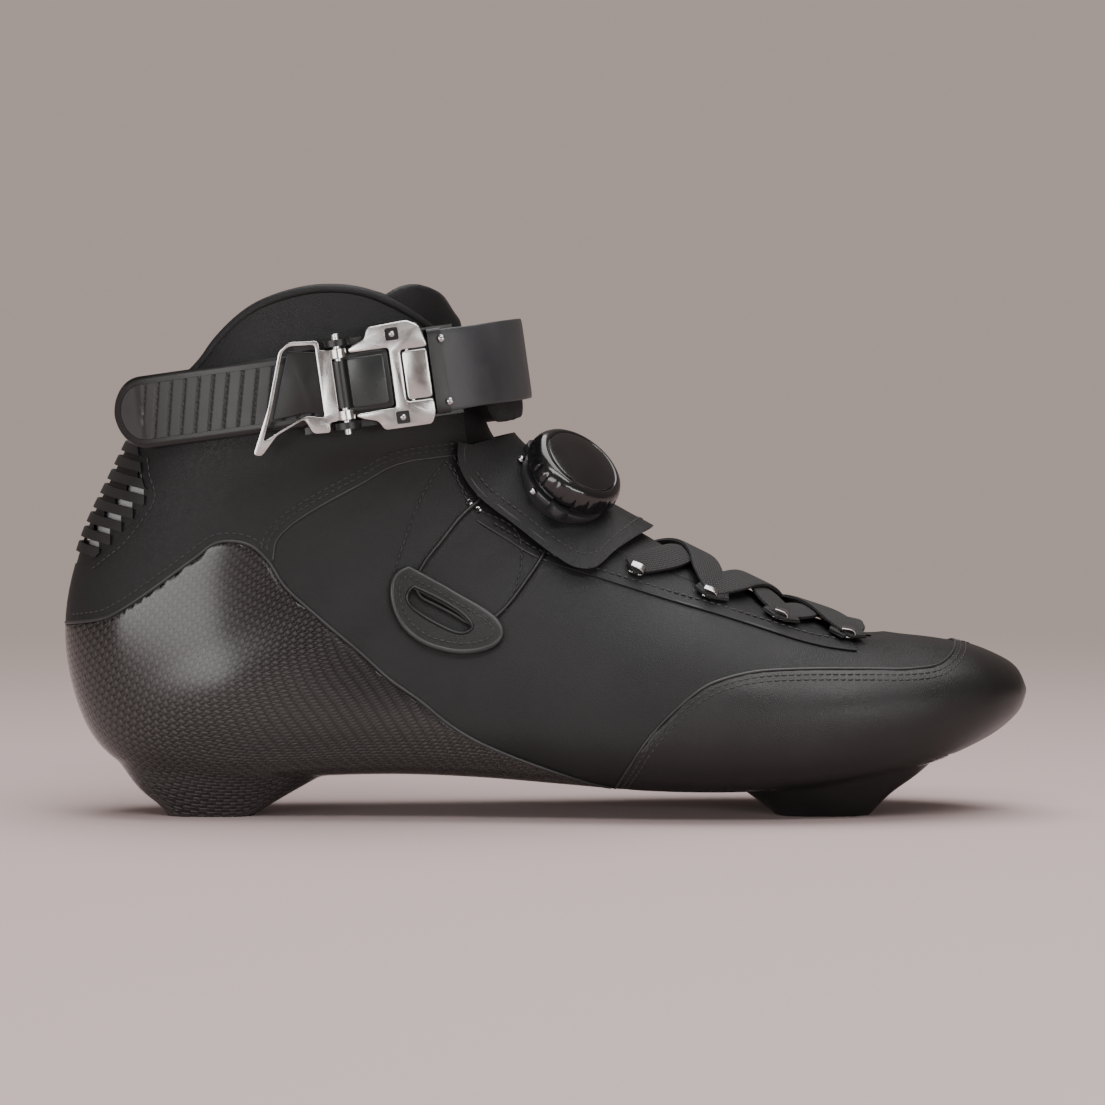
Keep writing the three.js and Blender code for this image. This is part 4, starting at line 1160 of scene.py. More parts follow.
def dress(obj: bpy.types.Object, finish: Finish, body: str = "boot", *nodes: str) -> bpy.types.Object:
    """Gives a piece its finish, its body and the modelled pieces that it stands for.

    Args:
        obj: The piece.
        finish: Its finish.
        body: The body that it rides on.
        nodes: The modelled pieces that it replaces.

    Returns:
        The piece.
    """
    obj.data.materials.clear()
    obj.data.materials.append(finish.material())
    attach(obj, body)
    if nodes:
        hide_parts(*nodes)
    log.info("%s: %d faces on %s", obj.name, len(obj.data.polygons), body)
    return obj


# ------------------------------------------------------------------ side-view lines
CARBON_LINE = smooth([
    (-12, 58), (5.8, 60.4), (14.2, 62.1), (19.8, 64.9), (28.2, 70.5), (36.5, 76.6), (43.3, 81.6),
    (47.7, 85), (51.6, 86.1), (58.9, 85), (64.4, 80.5), (70, 72.1), (80.8, 62.2), (93.3, 51.6),
    (102.3, 43.5), (111.3, 37.2), (120.3, 30), (129.2, 24.7), (154, 14.9), (171, 9.6), (205, 9), (228, 10),
    (248, 12.6), (264, 16.2), (275, 20),
])
RIM_LINE = smooth([
    (-12, 124), (20, 127), (27, 129.5), (34, 132.8), (42.1, 138.2), (50.5, 148.6), (60.9, 157),
    (74.9, 161.9), (85.4, 162.8), (95.8, 161.2), (108.1, 155.2), (117, 148),
])
THROAT_LINE = smooth([
    (123, 138), (124.5, 122), (128, 106), (140, 97), (155, 89.5), (170, 83), (184, 77.5), (200, 71.5),
    (215, 66), (230, 59.8), (242, 56.5), (250, 55), (256, 55.8), (259, 58),
])
EYESTAY_LINE = smooth([
    (124.4, 94.6), (136, 87.4), (146.3, 81.1), (161.6, 76.1), (184.4, 68.9), (205.9, 62.6), (229.4, 55.2),
    (240, 53), (252, 52),
])
SEAM_LINE = smooth([
    (64, 70), (66.1, 79.4), (67.2, 86.1), (71.4, 90.8), (78.4, 95.6), (92.3, 103.3), (104, 109.6),
    (119.7, 112), (140, 113),
])
FLEX_LINE = smooth([
    (-12, 78), (7.5, 78.3), (13.1, 82.2), (18.1, 86.1), (23.7, 92.8), (28.1, 100), (26.5, 104), (25, 112),
    (22, 118.5), (-12, 118.5),
])
TOE_LINE = smooth([
    (171, -6), (171.1, 8.9), (176.4, 19.7), (182.7, 28.6), (190.8, 36.7), (198, 42.1), (205.1, 44.8),
    (214.1, 46.6), (229.3, 47.2), (247.3, 47), (262, 46.8), (271, 48), (276, 51.5), (279, 56), (279.5, 62),
])
TONGUE_LINE = smooth([
    (94, 158), (103, 140), (109, 120), (118, 101), (130, 92), (150, 81), (170, 74), (190, 67), (210, 60),
    (230, 54), (244, 51.5), (253, 52.5), (256, 60),
])
TONGUE_TOP = smooth([
    (150, 150), (126, 152), (121.9, 155.2), (116.6, 162.4), (110.6, 164.8), (105, 164.2), (99.8, 161.2),
    (94, 158),
])
FLAP_LINE = smooth([
    (122.9, 116.2), (123.3, 108.5), (128.4, 100.3), (140, 91), (152, 81.8), (159.1, 77.9), (164.8, 77.9),
    (171.2, 83), (178.2, 87.2), (183, 89.5), (190, 96),
])
GUIDE_LINE = smooth([
    (107.4, 77.9), (121, 70.2), (134.8, 61.3), (136.4, 57.4), (133.5, 54), (124, 52), (112.5, 54.8),
    (105.6, 60.6), (102.4, 68.5), (103, 74.8), (107.4, 77.9),
])[:-1]
SLOT_LINE = smooth([
    (109, 71.6), (125, 62.2), (126.8, 59.4), (123.8, 57.9), (108.6, 66.2), (107.4, 69.4), (109, 71.6),
], 0.8)[:-1]


def region(*pieces: Sequence[Place] | Array) -> Array:
    """Strings lines and corners together in one closed outline."""
    return np.concatenate([np.asarray(piece, float).reshape(-1, 2) for piece in pieces])


CARBON_REGION = region(CARBON_LINE, (276, -30), (-30, -30), (-30, 58))
UPPER_REGION = region(
    RIM_LINE, THROAT_LINE, (262, 58), (262, 90), (340, 90), (340, -30), (-30, -30), (-30, 124)
)
TOE_REGION = region(TOE_LINE, (279, 80), (340, 80), (340, -20), (171, -20))
CUFF_REGION = region(SEAM_LINE, (140, 220), (-40, 220), (-40, 40), (64, 40))
TONGUE_REGION = region(TONGUE_LINE, (256, 90), TONGUE_TOP)
FLAP_REGION = region(FLAP_LINE, (190, 110), (152, 122), (127, 115.5))
EYESTAY_REGION = region(
    THROAT_LINE[(THROAT_LINE[:, 0] > 128) & (THROAT_LINE[:, 0] < 244)],
    EYESTAY_LINE[EYESTAY_LINE[:, 0] < 246][::-1], (124, 98))


# ------------------------------------------------------------------ shell
@dataclass
class Shell:
    """The carbon shell, its two mounting blocks and their threaded inserts.

    Attributes:
        wall: The carbon's layer.
        heel: Spans of the heel block at each level, its middle and its half widths.
        toe: The same for the toe block.
        levels: Heights of the blocks' levels in millimetres.
    """

    wall: Layer = Layer(-2.2, 0.5, 3.2, 20)
    heel: tuple = (((31.5, 59.3), (29, 64), (23.5, 71), (19, 80), (15, 88)), 0.0, (17, 18.5, 20.5, 23, 25))
    toe: tuple = (
        ((221, 251), (217.2, 254), (211.5, 258.5), (205, 266), (199, 273)), 4.0, (20, 21.5, 24.5, 28, 32)
    )
    levels: tuple[float, ...] = (0, 3, 7, 12, 18)

    def block(
        self, name: str, spans: Sequence[Place], middle: float, half: Sequence[float]
    ) -> bpy.types.Object:
        """Builds a flaring mounting block.

        Args:
            name: The piece's name.
            spans: First and last x at each level.
            middle: The y of its middle.
            half: Half width at each level.

        Returns:
            The object.
        """
        table = smooth([(z, *span, width) for z, span, width in zip(self.levels, spans, half)], 0.7)
        angle = 2 * np.pi * (np.arange(88) + 0.5) / 88
        rows = []
        for z, x0, x1, width in table:
            fullness = 0.5 + 0.5 * min(z / self.levels[-1], 1) ** 1.2
            corner = [np.sign(f) * np.abs(f) ** fullness for f in (np.cos(angle), np.sin(angle))]
            tuck = 0.5 * max(0.0, 1 - z / 0.8) ** 2
            x = (x0 + x1) / 2 + ((x1 - x0) / 2 - tuck) * corner[0]
            rows.append(np.stack([x, middle + (width - tuck) * corner[1], np.full_like(x, z)], -1))
        return grid(name, to_frame(np.array(rows)))

    def build(self) -> None:
        """Builds and dresses the shell and the inserts."""
        shell = combine(self.wall.build("carbon shell", 0.13, 168), across(CARBON_REGION), Operation.KEEP)
        block = combine(self.block("heel block", *self.heel), self.hollow(), Operation.CUT)
        combine(shell, block, Operation.JOIN)
        melt(shell, 0.9, (6, 106), 36, 44)
        lay_weave(shell)
        for node in ("heel_insert", "toe_insert"):
            low, high = (np.array(corner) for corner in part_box(node))
            centre = (low + high) / 2
            if node == "heel_insert":
                bore = settle(self.bore(), Matrix.Translation((centre[0], centre[1], 0)))
                combine(shell, bore, Operation.CUT)
            ring = [(3.4, 0.3), (7.5, 0.3), (8, 0.8), (8, 9.3), (3.4, 9.3)]
            insert = grid(node.replace("_", " "), self.turned(ring), capped=False)
            settle(insert, Matrix.Translation((centre[0], centre[1], 0)))
            dress(soften(insert), STEEL, "boot", node)
        dress(soften(shell, 38), CARBON, "boot", "carbon_shell")

    @staticmethod
    def bore() -> bpy.types.Object:
        """Builds the room for a threaded insert, for use as a tool."""
        return lathe("bore", [(8.3, -2), (8.3, 9.6)], 64)

    @staticmethod
    def turned(profile: Sequence[Place], sides: int = 64) -> Array:
        """Turns a closed profile about the z axis.

        Args:
            profile: Pairs of radius and height in millimetres.
            sides: Points round the axis.

        Returns:
            Rings of points, one for each corner of the profile.
        """
        angle = 2 * np.pi * np.arange(sides) / sides
        rings = []
        for r, z in profile:
            rings.append(np.stack([r * np.cos(angle), r * np.sin(angle), np.full_like(angle, z)], -1))
        return np.array(rings) * MM

    @staticmethod
    def hollow() -> bpy.types.Object:
        """Builds the room inside the shell, which the blocks must not fill."""
        return core("hollow", 3.2, 20, 70, -1.4)


# ------------------------------------------------------------------ leather upper
@dataclass
class Upper:
    """The leather panels, their edges and their seams.

    Attributes:
        leather: The quarters' layer.
        cuff: The ankle panels' layer.
        cap: The toe cap's layer.
        gap: Gap between neighbouring panels in millimetres; not used.
    """

    leather: Layer = Layer(-1.6, 0.05, waves=0.09)
    cuff: Layer = Layer(-1.5, 0.5, waves=0.1)
    cap: Layer = Layer(-1.6, 0.45, waves=0.05)
    gap: float = 0.3

    def panel(
        self, name: str, layer: Layer, keep: Sequence[Array], cut: Sequence[Array], side: Side | None
    ) -> bpy.types.Object:
        """Builds a panel from its layer and the side-view outlines that it keeps to and stays out of."""
        return soften(trim(layer.build(name), keep, cut, side), 40)

    def build(self) -> None:
        """Builds and dresses the panels, edges and stitches."""
        carbon = offset(CARBON_REGION, -0.4)
        flex = offset(region(FLEX_LINE), -0.6)
        vamp = region((222, 30), (240, 90), (340, 90), (340, 30))
        for side, label in ((Side.OUTER, "outer"), (Side.INNER, "inner")):
            cuff = self.panel(
                f"ankle panel {label}", self.cuff, [UPPER_REGION, CUFF_REGION], [carbon, flex], side)
            dress(cuff, LEATHER, "boot", f"ankle_panel_{label}")
            under = offset(CUFF_REGION, -2.0)
            quarter = self.panel(
                f"quarter {label}", self.leather, [UPPER_REGION],
                [carbon, under, offset(TOE_REGION, -1.5), offset(vamp, -0.4)], side)
            dress(quarter, LEATHER, "boot", f"quarter_{label}")
        front = self.panel("vamp", self.leather, [UPPER_REGION, vamp], [offset(TOE_REGION, -1.5)], None)
        dress(front, LEATHER, "boot", "vamp")
        cap = self.panel("toe cap", self.cap, [TOE_REGION], [carbon], None)
        shell = Shell()
        block = combine(shell.block("toe block", *shell.toe), shell.hollow(), Operation.CUT)
        combine(cap, block, Operation.JOIN)
        melt(cap, 0.85, (184, 294), 34, 44)
        low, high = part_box("toe_insert")
        middle = (low + high) / 2
        combine(cap, settle(shell.bore(), Matrix.Translation((middle.x, middle.y, 0))), Operation.CUT)
        soften(cap, 50)
        dress(cap, TOE_LEATHER, "boot", "toe_cap")
        self.edges()
        self.seams()

    def edges(self) -> None:
        """Builds the rolled and cut edges; their beads are lighter than the leather, partly a burnished edge
        and partly a painted highlight.
        """
        carbon = CARBON_LINE[(CARBON_LINE[:, 0] > 0) & (CARBON_LINE[:, 0] < 171)] + (0, 0.2)
        seam = SEAM_LINE[(SEAM_LINE[:, 0] < 127) & (SEAM_LINE[:, 1] > 80)]
        eye = EYESTAY_LINE[(EYESTAY_LINE[:, 0] > 128) & (EYESTAY_LINE[:, 0] < 242)]
        lines = (
            ("carbon edge", carbon, 0.35, 0.55),
            ("seam edge", seam, 0.25, 0.42),
            ("eyestay edge", eye, 0.2, 0.35),
        )
        for name, line, lift, radius in lines:
            for side in Side:
                edge = bead(f"{name} {side.name.lower()}", line, side, lift, radius)
                dress(soften(edge, 60), EDGE_AND_PAINTED_HIGHLIGHT)
        outer = on_boot(TOE_LINE[TOE_LINE[:, 1] > 4], Side.OUTER, 0.3)
        inner = on_boot(TOE_LINE[TOE_LINE[:, 1] > 4][::-1], Side.INNER, 0.3)
        both = [np.concatenate([outer[k], inner[k]]) for k in (0, 1)]
        edge = sweep("toe cap edge", both[0], both[1], round_section(0.45 * MM, 8))
        dress(soften(edge, 60), EDGE_AND_PAINTED_HIGHLIGHT)

    def seams(self) -> None:
        """Sews the rows of stitches."""
        toe = TOE_LINE[(TOE_LINE[:, 1] > 10)]
        carbon = CARBON_LINE[(CARBON_LINE[:, 0] > 3) & (CARBON_LINE[:, 0] < 64)]
        seam = SEAM_LINE[(SEAM_LINE[:, 0] < 122) & (SEAM_LINE[:, 1] > 82)]
        eye = EYESTAY_LINE[(EYESTAY_LINE[:, 0] > 132) & (EYESTAY_LINE[:, 0] < 240)]
        flex = FLEX_LINE[(FLEX_LINE[:, 0] > 8) & (FLEX_LINE[:, 1] < 112)]
        for side in Side:
            rows = [
                (beside(toe, -1.7), side, 0.5), (beside(toe, -3.2), side, 0.5),
                (beside(carbon, 2.6), side, 0.62),
                (beside(seam, 2.2), side, 0.6), (beside(seam, 3.8), side, 0.6),
                (beside(eye, 2.0), side, 0.75), (beside(flex, -2.2), side, 0.6),
            ]
            sewn = stitches(f"stitches {side.name.lower()}", rows)
            dress(sewn, THREAD)


@dataclass
class FlexInsert:
    """The ribbed rubber insert at the Achilles tendon with its light backing.

    Attributes:
        pitch: Distance from rib to rib in millimetres.
        count: Number of ribs.
        proud: Height of the ribs in millimetres.
        slant: Slope of the ribs in degrees.
        groove: Height of the gap between two ribs in millimetres.
    """

    pitch: float = 4.9
    count: int = 8
    proud: float = 1.4
    slant: float = 12.0
    groove: float = 1.9

    @staticmethod
    def slot(z: float) -> float:
        """Finds the x of the slot's middle at a height, both in millimetres."""
        return 7.6 + 0.74 * (z - 81.3)

    def strip(self, x0: float, x1: float, z: float, height: float) -> Array:
        """Draws a slanting strip.

        Args:
            x0: First x.
            x1: Last x.
            z: Height of its lower edge at x 14.
            height: Its height.

        Returns:
            The outline.
        """
        slope = math.tan(math.radians(self.slant))
        low = [(x, z - slope * (x - 14)) for x in np.linspace(x0, x1, 6)]
        return region(low, [(x, y + height) for x, y in reversed(low)])

    def build(self) -> None:
        """Builds and dresses the insert and the backing."""
        body = Layer(-1.6, 0.1, 0.8, 7).build("achilles flex insert", 0.09, 168)
        combine(body, across(region(FLEX_LINE)), Operation.KEEP)
        for i in range(self.count):
            z = 80 + i * self.pitch
            reach = self.slot(z + 1.5) + 4.2
            rib = Layer(-0.8, self.proud, 0.8, 7).build("rib", 0.1, 168)
            trim(rib, (self.strip(-12, reach, z, self.pitch - self.groove), offset(region(FLEX_LINE), -0.6)))
            combine(body, rib, Operation.JOIN)
            if i < self.count - 2:
                top = z + self.pitch - self.groove
                reach = self.slot(top)
                combine(body, across(self.strip(reach - 3, reach + 2.8, top, 2.0)), Operation.CUT)
        dress(soften(body, 35), RUBBER, "boot", "achilles_flex_insert")
        backing = Layer(-2.3, -1.75, 0.8, 7).build("light backing", 0.15, 120)
        combine(backing, across(offset(region(FLEX_LINE), -1.0)), Operation.KEEP)
        dress(soften(backing), REFLECTIVE, "boot", "reflective_backing")


# ------------------------------------------------------------------ lining, insole and tongue
@dataclass
class Lining:
    """The padded liner, the insole, the tongue and the rolled binding of the opening.

    Attributes:
        liner: The liner's layer.
        piping: Radius of the binding in millimetres.
    """

    liner: Layer = Layer(-5.2, -2.2, 0.2, 17)
    piping: float = 1.6

    def build(self) -> None:
        """Builds and dresses the pieces."""
        trim = region(RIM_LINE - (0, 0.6), THROAT_LINE, (262, 58), (262, -30), (-40, -30), (-40, 124))
        liner = combine(self.liner.build("padded liner"), across(trim), Operation.KEEP)
        dress(soften(liner, 50), KNIT, "boot", "padded_liner")
        tongue = combine(Layer(-5.4, -2.1, 0.2, 18).build("tongue"), across(TONGUE_REGION), Operation.KEEP)
        modify(tongue, "REMESH", mode="VOXEL", voxel_size=0.9 * MM)
        modify(tongue, "SMOOTH", factor=0.6, iterations=7)
        dress(soften(tongue, 60), LEATHER, "boot", "tongue")
        within = (THROAT_LINE[:, 0] > 127) & (THROAT_LINE[:, 0] < 250)
        throat = region(THROAT_LINE[within] - (0, 1.2), (252, 90), (150, 150), (128, 120))
        filler = combine(Layer(-3.4, 0.15, 7.5, 17).build("tongue front"), across(throat), Operation.KEEP)
        modify(filler, "REMESH", mode="VOXEL", voxel_size=0.9 * MM)
        modify(filler, "SMOOTH", factor=0.6, iterations=5)
        dress(soften(filler, 60), TONGUE_LEATHER)
        self.insole()
        self.binding()

    def insole(self) -> None:
        """Builds the cushioned insole."""
        top = smooth([
            (12, 27), (20, 23.5), (35, 21.8), (80, 22.4), (130, 21.8), (155, 19.8), (180, 17.8), (205, 17.3),
            (228, 18.4), (244, 20.8),
        ])
        body = core("insole", 3.4, 16.6, 90, -5.5)
        combine(body, across(region(top, (246, -30), (10, -30))), Operation.KEEP)
        dress(soften(body, 40), KNIT, "boot", "insole")

    def binding(self) -> None:
        """Builds the rolled binding round the ankle opening."""
        line = RIM_LINE[(RIM_LINE[:, 0] > 22) & (RIM_LINE[:, 0] < 116)] + (0, 0.4)
        outer = on_boot(line[::-1], Side.OUTER, -0.5)
        inner = on_boot(line, Side.INNER, -0.5)
        v = LAST.locate([(22, 128.6)], Side.INNER)[0]
        back = to_frame(LAST.skin(v, np.zeros(1), -0.5)), LAST.normal(v, np.zeros(1))
        points, normals = (np.concatenate([outer[k], back[k], inner[k]]) for k in (0, 1))
        points = evenly(smooth(evenly(points, 6 * MM), 1 * MM), 1.2 * MM)
        up = respaced(normals, len(points))
        tube = sweep("collar binding", points, up, round_section(self.piping * MM, 20))
        dress(soften(tube, 60), LEATHER, "boot", "collar_binding")


# ------------------------------------------------------------------ laces
@dataclass
class Lacing:
    """The eyestays, the lace hooks and the flat lace.

    Attributes:
        hooks: Side-view places of the hooks, from the toe.
        width: Width of the lace in millimetres.
        thickness: Thickness of the lace in millimetres.
    """

    hooks: tuple[Place, ...] = ((242.5, 54.9), (221.5, 60.7), (200, 67.7), (177.5, 75.4))
    width: float = 9.8
    thickness: float = 1.3

    def build(self) -> None:
        """Builds and dresses the pieces."""
        front = region((150, 50), (150, 95), (251, 90), (251, 40))
        for side, label in ((Side.OUTER, "outer"), (Side.INNER, "inner")):
            stay = Layer(-0.2, 0.6, 7, 18, waves=0.1).build(f"eyestay {label}")
            trim(stay, (EYESTAY_REGION, front), side=side)
            dress(soften(stay, 40), LEATHER, "boot", f"eyestay_{label}")
            for i, place in enumerate(self.hooks):
                self.hook(f"lace hook {label} {i + 1}", place, side, f"lace_hook_{label}_{i + 1}")
        self.lace()

    def hook(self, name: str, place: Place, side: Side, node: str) -> None:
        """Builds a lace hook: a foot, a stem and a turned-over lip.

        Args:
            name: The piece's name.
            place: Its side-view place.
            side: Its side of the foot.
            node: The modelled hook that it replaces.
        """
        path = np.array([
            (-3.0, 0, 0.5), (-1, 0, 0.45), (1.2, 0, 0.6), (2.3, 0, 1.5), (2.2, 0, 2.7), (1, 0, 3.4),
            (-1.2, 0, 3.5), (-3.0, 0, 3.3),
        ]) * MM
        path = smooth(path, 0.35 * MM)
        side_steady = np.tile([0.0, 1, 0], (len(path), 1))
        tangent = np.gradient(path, axis=0)
        normals = np.cross(side_steady, tangent)
        hook = sweep(name, path * 0.8, normals,
                     lambda t: flat_section((3.4 - 1.2 * t) * MM, 0.55 * MM, 20) - (0, 0.28 * MM))
        settle(hook, seat_matrix(place, side, 1.3))
        dress(soften(hook, 50), STEEL, "boot", node)

    def lace(self) -> None:
        """Builds the lace: it zigzags down to the toe and back up over itself."""
        order = ((3, -1), (2, 1), (1, -1), (0, 1), (0, -1), (1, 1), (2, -1), (3, 1))
        samples: list[tuple[float, float, float, float]] = []
        for i, (hook, sign) in enumerate(order):
            v, g = (float(x[0]) for x in LAST.locate([self.hooks[hook]], Side(sign)))
            way = -1 if i < 4 else 1
            for turn in (-1, 0, 1):
                if (i == 0 and turn < 1) or (i == len(order) - 1 and turn > -1):
                    continue
                out = 0.03 if turn == 0 else 0.0
                samples.append((v + way * turn * 0.2, g % 2 + sign * out, 1.5, 6.0 if turn else 5.0))
            if i == len(order) - 1:
                break
            nv, ng = (float(x[0]) for x in LAST.locate([self.hooks[order[i + 1][0]]], Side(order[i + 1][1])))
            for t in (0.18, 0.34, 0.5, 0.66, 0.82):
                over = 0.3 + (self.thickness + 0.3 if i >= 4 else 0)
                samples.append((v + (nv - v) * t, (g % 2) + ((ng % 2) - (g % 2)) * t,
                                1.5 + over * math.sin(math.pi * t) ** 0.25, self.width))
        table = np.array(samples)
        points = to_frame(LAST.skin(table[:, 0], table[:, 1], table[:, 2]))
        normals = LAST.normal(table[:, 0], table[:, 1])
        whole = smooth(np.concatenate([points, normals * MM, table[:, 3:] * MM], 1), 1.0 * MM)
        widths = whole[:, 6]
        count = len(whole) - 1
        lace = sweep("lace", whole[:, :3], whole[:, 3:6],
                     lambda t: flat_section(widths[int(round(t * count))], self.thickness * MM, 32, 6))
        dress(soften(lace, 60), WEBBING, "boot", "lace")


def seat_matrix(place: Place, side: Side, lift: float) -> Matrix:
    """Finds the frame of something that stands on the boot.

    Args:
        place: Its side-view place in millimetres.
        side: Its side of the foot.
        lift: Height above the surface in millimetres.

    Returns:
        A matrix: z along the outward normal, x towards the toe.
    """
    v, g = LAST.locate([place], side)
    normal = Vector(LAST.normal(v, g)[0])
    ahead = Vector((LAST.point(v + 0.05, g) - LAST.point(v - 0.05, g))[0]).normalized()
    sideways = normal.cross(ahead).normalized()
    turn = Matrix((sideways.cross(normal), sideways, normal)).transposed().to_4x4()
    return Matrix.Translation(Vector(to_frame(LAST.skin(v, g, lift))[0])) @ turn


# ------------------------------------------------------------------ dial
@dataclass
class Dial:
    """The instep flap, the cable guides, the cables and the turning dial.

    Attributes:
        place: Side-view place of the dial's axis.
        flap: The flap's layer.
        radius: Radius of the knob in millimetres.
        height: Height of the knob in millimetres.
        cable: Radius of the cables in millimetres.
        route: Side-view places that the cable goes through.
    """

    place: Place = (152.6, 99.4)
    flap: Layer = Layer(2.5, 3.9, 1.5, 12.5, waves=0.1)
    radius: float = 16.0
    height: float = 12.0
    cable: float = 0.62
    route: tuple[Place, ...] = (
        (141, 99.5), (133.5, 100.4), (124.6, 94.5), (118, 86.5), (111.8, 78.6), (109.6, 73), (111.5, 68.8),
        (116.8, 66), (122.3, 63), (127.6, 60.4), (132.4, 61.6), (137.3, 65.6), (143.5, 73.5), (148.5, 81),
        (151.5, 89),
    )

    def build(self) -> None:
        """Builds and dresses the pieces."""
        flap = combine(self.flap.build("instep flap", 0.1, 168), across(FLAP_REGION), Operation.KEEP)
        round_edges(flap, 0.35, 2, 50)
        dress(soften(flap, 40), LEATHER, "boot", "instep_flap")
        hem = FLAP_LINE[FLAP_LINE[:, 0] < 182]
        # The flap's edge beads take the lighter edge colour: a painted highlight on a burnished edge.
        for side in Side:
            edge = bead(f"flap edge {side.name.lower()}", hem, side, 3.3, 0.62)
            dress(soften(edge, 60), EDGE_AND_PAINTED_HIGHLIGHT)
        inset = offset(FLAP_REGION, -2.2)
        inset = inset[(inset[:, 1] < 114) & (inset[:, 0] < 181) & (inset[:, 1] < 0.2 * inset[:, 0] + 82)]
        dress(stitches("flap stitches", [(inset, side, 3.98) for side in Side], 2.2), THREAD)
        for side, label in ((Side.OUTER, "outer"), (Side.INNER, "inner")):
            self.guide(side, label)
            self.run(side, label)
        self.turning()

    def guide(self, side: Side, label: str) -> None:
        """Builds the D-shaped cable guide, its rim and its slot.

        Args:
            side: Its side of the foot.
            label: The word for that side in names.
        """
        plate = Layer(-0.2, 2.3, 4, 13, waves=0.05).build(f"cable guide {label}", 0.07, 260)
        trim(plate, (GUIDE_LINE,), (SLOT_LINE,), side)
        round_edges(plate, 0.5, 3, 50)
        dress(soften(plate, 50), GUIDE_LEATHER, "boot", f"cable_guide_{label}")
        loops = (
            ("guide rim", offset(GUIDE_LINE, -0.3), 1.6, 0.85),
            ("slot rim", offset(SLOT_LINE, 0.4), 2.3, 0.5),
        )
        # The guide rim takes the lighter edge colour: a painted highlight on a burnished rim; the slot rim
        # is black plastic.
        for name, loop, lift, radius in loops:
            points, normals = on_boot(loop, side, lift)
            ring = round_section(radius * MM, 10)
            tangent = np.roll(points, -1, 0) - np.roll(points, 1, 0)
            sideways = np.cross(tangent, normals)
            sideways /= np.linalg.norm(sideways, axis=1, keepdims=True)
            rows = (
                points[:, None]
                + sideways[:, None] * ring[None, :, :1]
                + normals[:, None] * ring[None, :, 1:]
            )
            rim = grid(f"{name} {label}", rows, capped=False)
            dress(soften(rim, 60), BLACK_PLASTIC if name == "slot rim" else EDGE_AND_PAINTED_HIGHLIGHT)
        dress(stitches(f"guide stitches {label}", [(offset(GUIDE_LINE, -2.4), side, 2.38)], 2.0), THREAD)
        patch = smooth([(103, 76), (119.7, 109.7), (126, 97.4), (141, 88), (137, 64)])
        rows = [(patch, side, 0.35)]
        strip = smooth([(119.7, 111.7), (124, 104.5), (128, 98)])
        rows += [(strip + (1.2, 0.6), side, 0.5), (strip - (1.2, 0.6), side, 0.5)]
        dress(stitches(f"patch stitches {label}", rows, 2.3), THREAD)
        for place in ((125.9, 97.7), (128.6, 95.3)):
            ring = Shell.turned([(0.5, 0), (1.0, 0), (1.1, 0.3), (0.9, 0.6), (0.6, 0.5)], 32)
            eyelet = grid("cable eyelet", ring, capped=False)
            settle(eyelet, seat_matrix(place, side, 0.1))
            dress(soften(eyelet, 60), STEEL)

    def run(self, side: Side, label: str) -> None:
        """Builds a cable.

        Args:
            side: Its side of the foot.
            label: The word for that side in names.
        """
        points, normals = on_boot(smooth(self.route, 2.0), side, self.cable + 0.35)
        points = smooth(evenly(points, 4 * MM), 1 * MM)
        up = respaced(normals, len(points))
        cable = sweep(f"dial cable {label}", points, up, round_section(self.cable * MM, 10))
        dress(soften(cable, 60), CABLE, "boot", f"dial_cable_{label}")

    def turning(self) -> None:
        """Builds the dial's base, spool, hub, knob and cap."""
        seat = seat_matrix(self.place, Side.OUTER, 4.2)
        base = lathe("dial base", [
            (13.4, -4.5), (14.6, -0.6), (15, 0.8), (14.7, 1.6), (12.7, 1.9), (12.5, 8.2), (11.3, 8.4),
            (11.1, 1.7), (2.4, 1.6), (2.4, 9.1), (1.9, 9.4),
        ])
        for turn in (35, 155, 275):
            bare()
            bpy.ops.mesh.primitive_cylinder_add(vertices=32, radius=3.4 * MM, depth=2.8 * MM,
                                                location=(14.2 * MM, 0, 1.4 * MM))
            tab = taken("tab")
            bpy.ops.object.transform_apply(location=True, rotation=True, scale=True)
            tab.data.transform(Matrix.Rotation(math.radians(turn), 4, "Z"))
            combine(base, tab, Operation.JOIN)
        for turn in (150, 185, 238, 270):
            lug = lathe("dial lug", [(1.3, 0), (1.3, 0.6), (0.9, 1.1), (0.3, 1.3)], 24)
            out = Matrix.Translation((15.6 * MM, 0, 0.6 * MM))
            lug.data.transform(Matrix.Rotation(math.radians(turn), 4, "Z") @ out)
            dress(soften(settle(lug, seat), 60), STEEL)
        round_edges(base, 0.3, 2, 40)
        dress(soften(settle(base, seat), 40), BASE_GREY, "boot", "dial_base")
        spool = Shell.turned([
            (2.7, 1.9), (9.3, 1.9), (9.6, 2.2), (9.6, 2.8), (7.6, 3.1), (7.6, 5.1), (9.6, 5.4), (9.6, 6.0),
            (9.3, 6.3), (2.7, 6.3),
        ], 72)
        wound = settle(grid("dial spool", spool, capped=False), seat)
        dress(soften(wound, 40), LADDER_GREY, "dial_spool", "dial_spool")
        sides = 72
        angle = 2 * np.pi * np.arange(sides) / sides
        tooth = 6.5 + 1.2 * np.clip(4 * np.cos(6 * angle) - 2.6, 0, 1)
        rows = []
        for share, z in ((0, 6.6), (1, 6.6), (1, 9.2), (0, 9.2)):
            r = tooth if share else np.full(sides, 2.7)
            rows.append(np.stack([r * np.cos(angle), r * np.sin(angle), np.full(sides, z)], -1) * MM)
        hub = settle(grid("dial drive hub", np.array(rows), capped=False), seat)
        dress(soften(hub, 40), STEEL, "dial_hub", "dial_drive_hub")
        self.knob(seat)

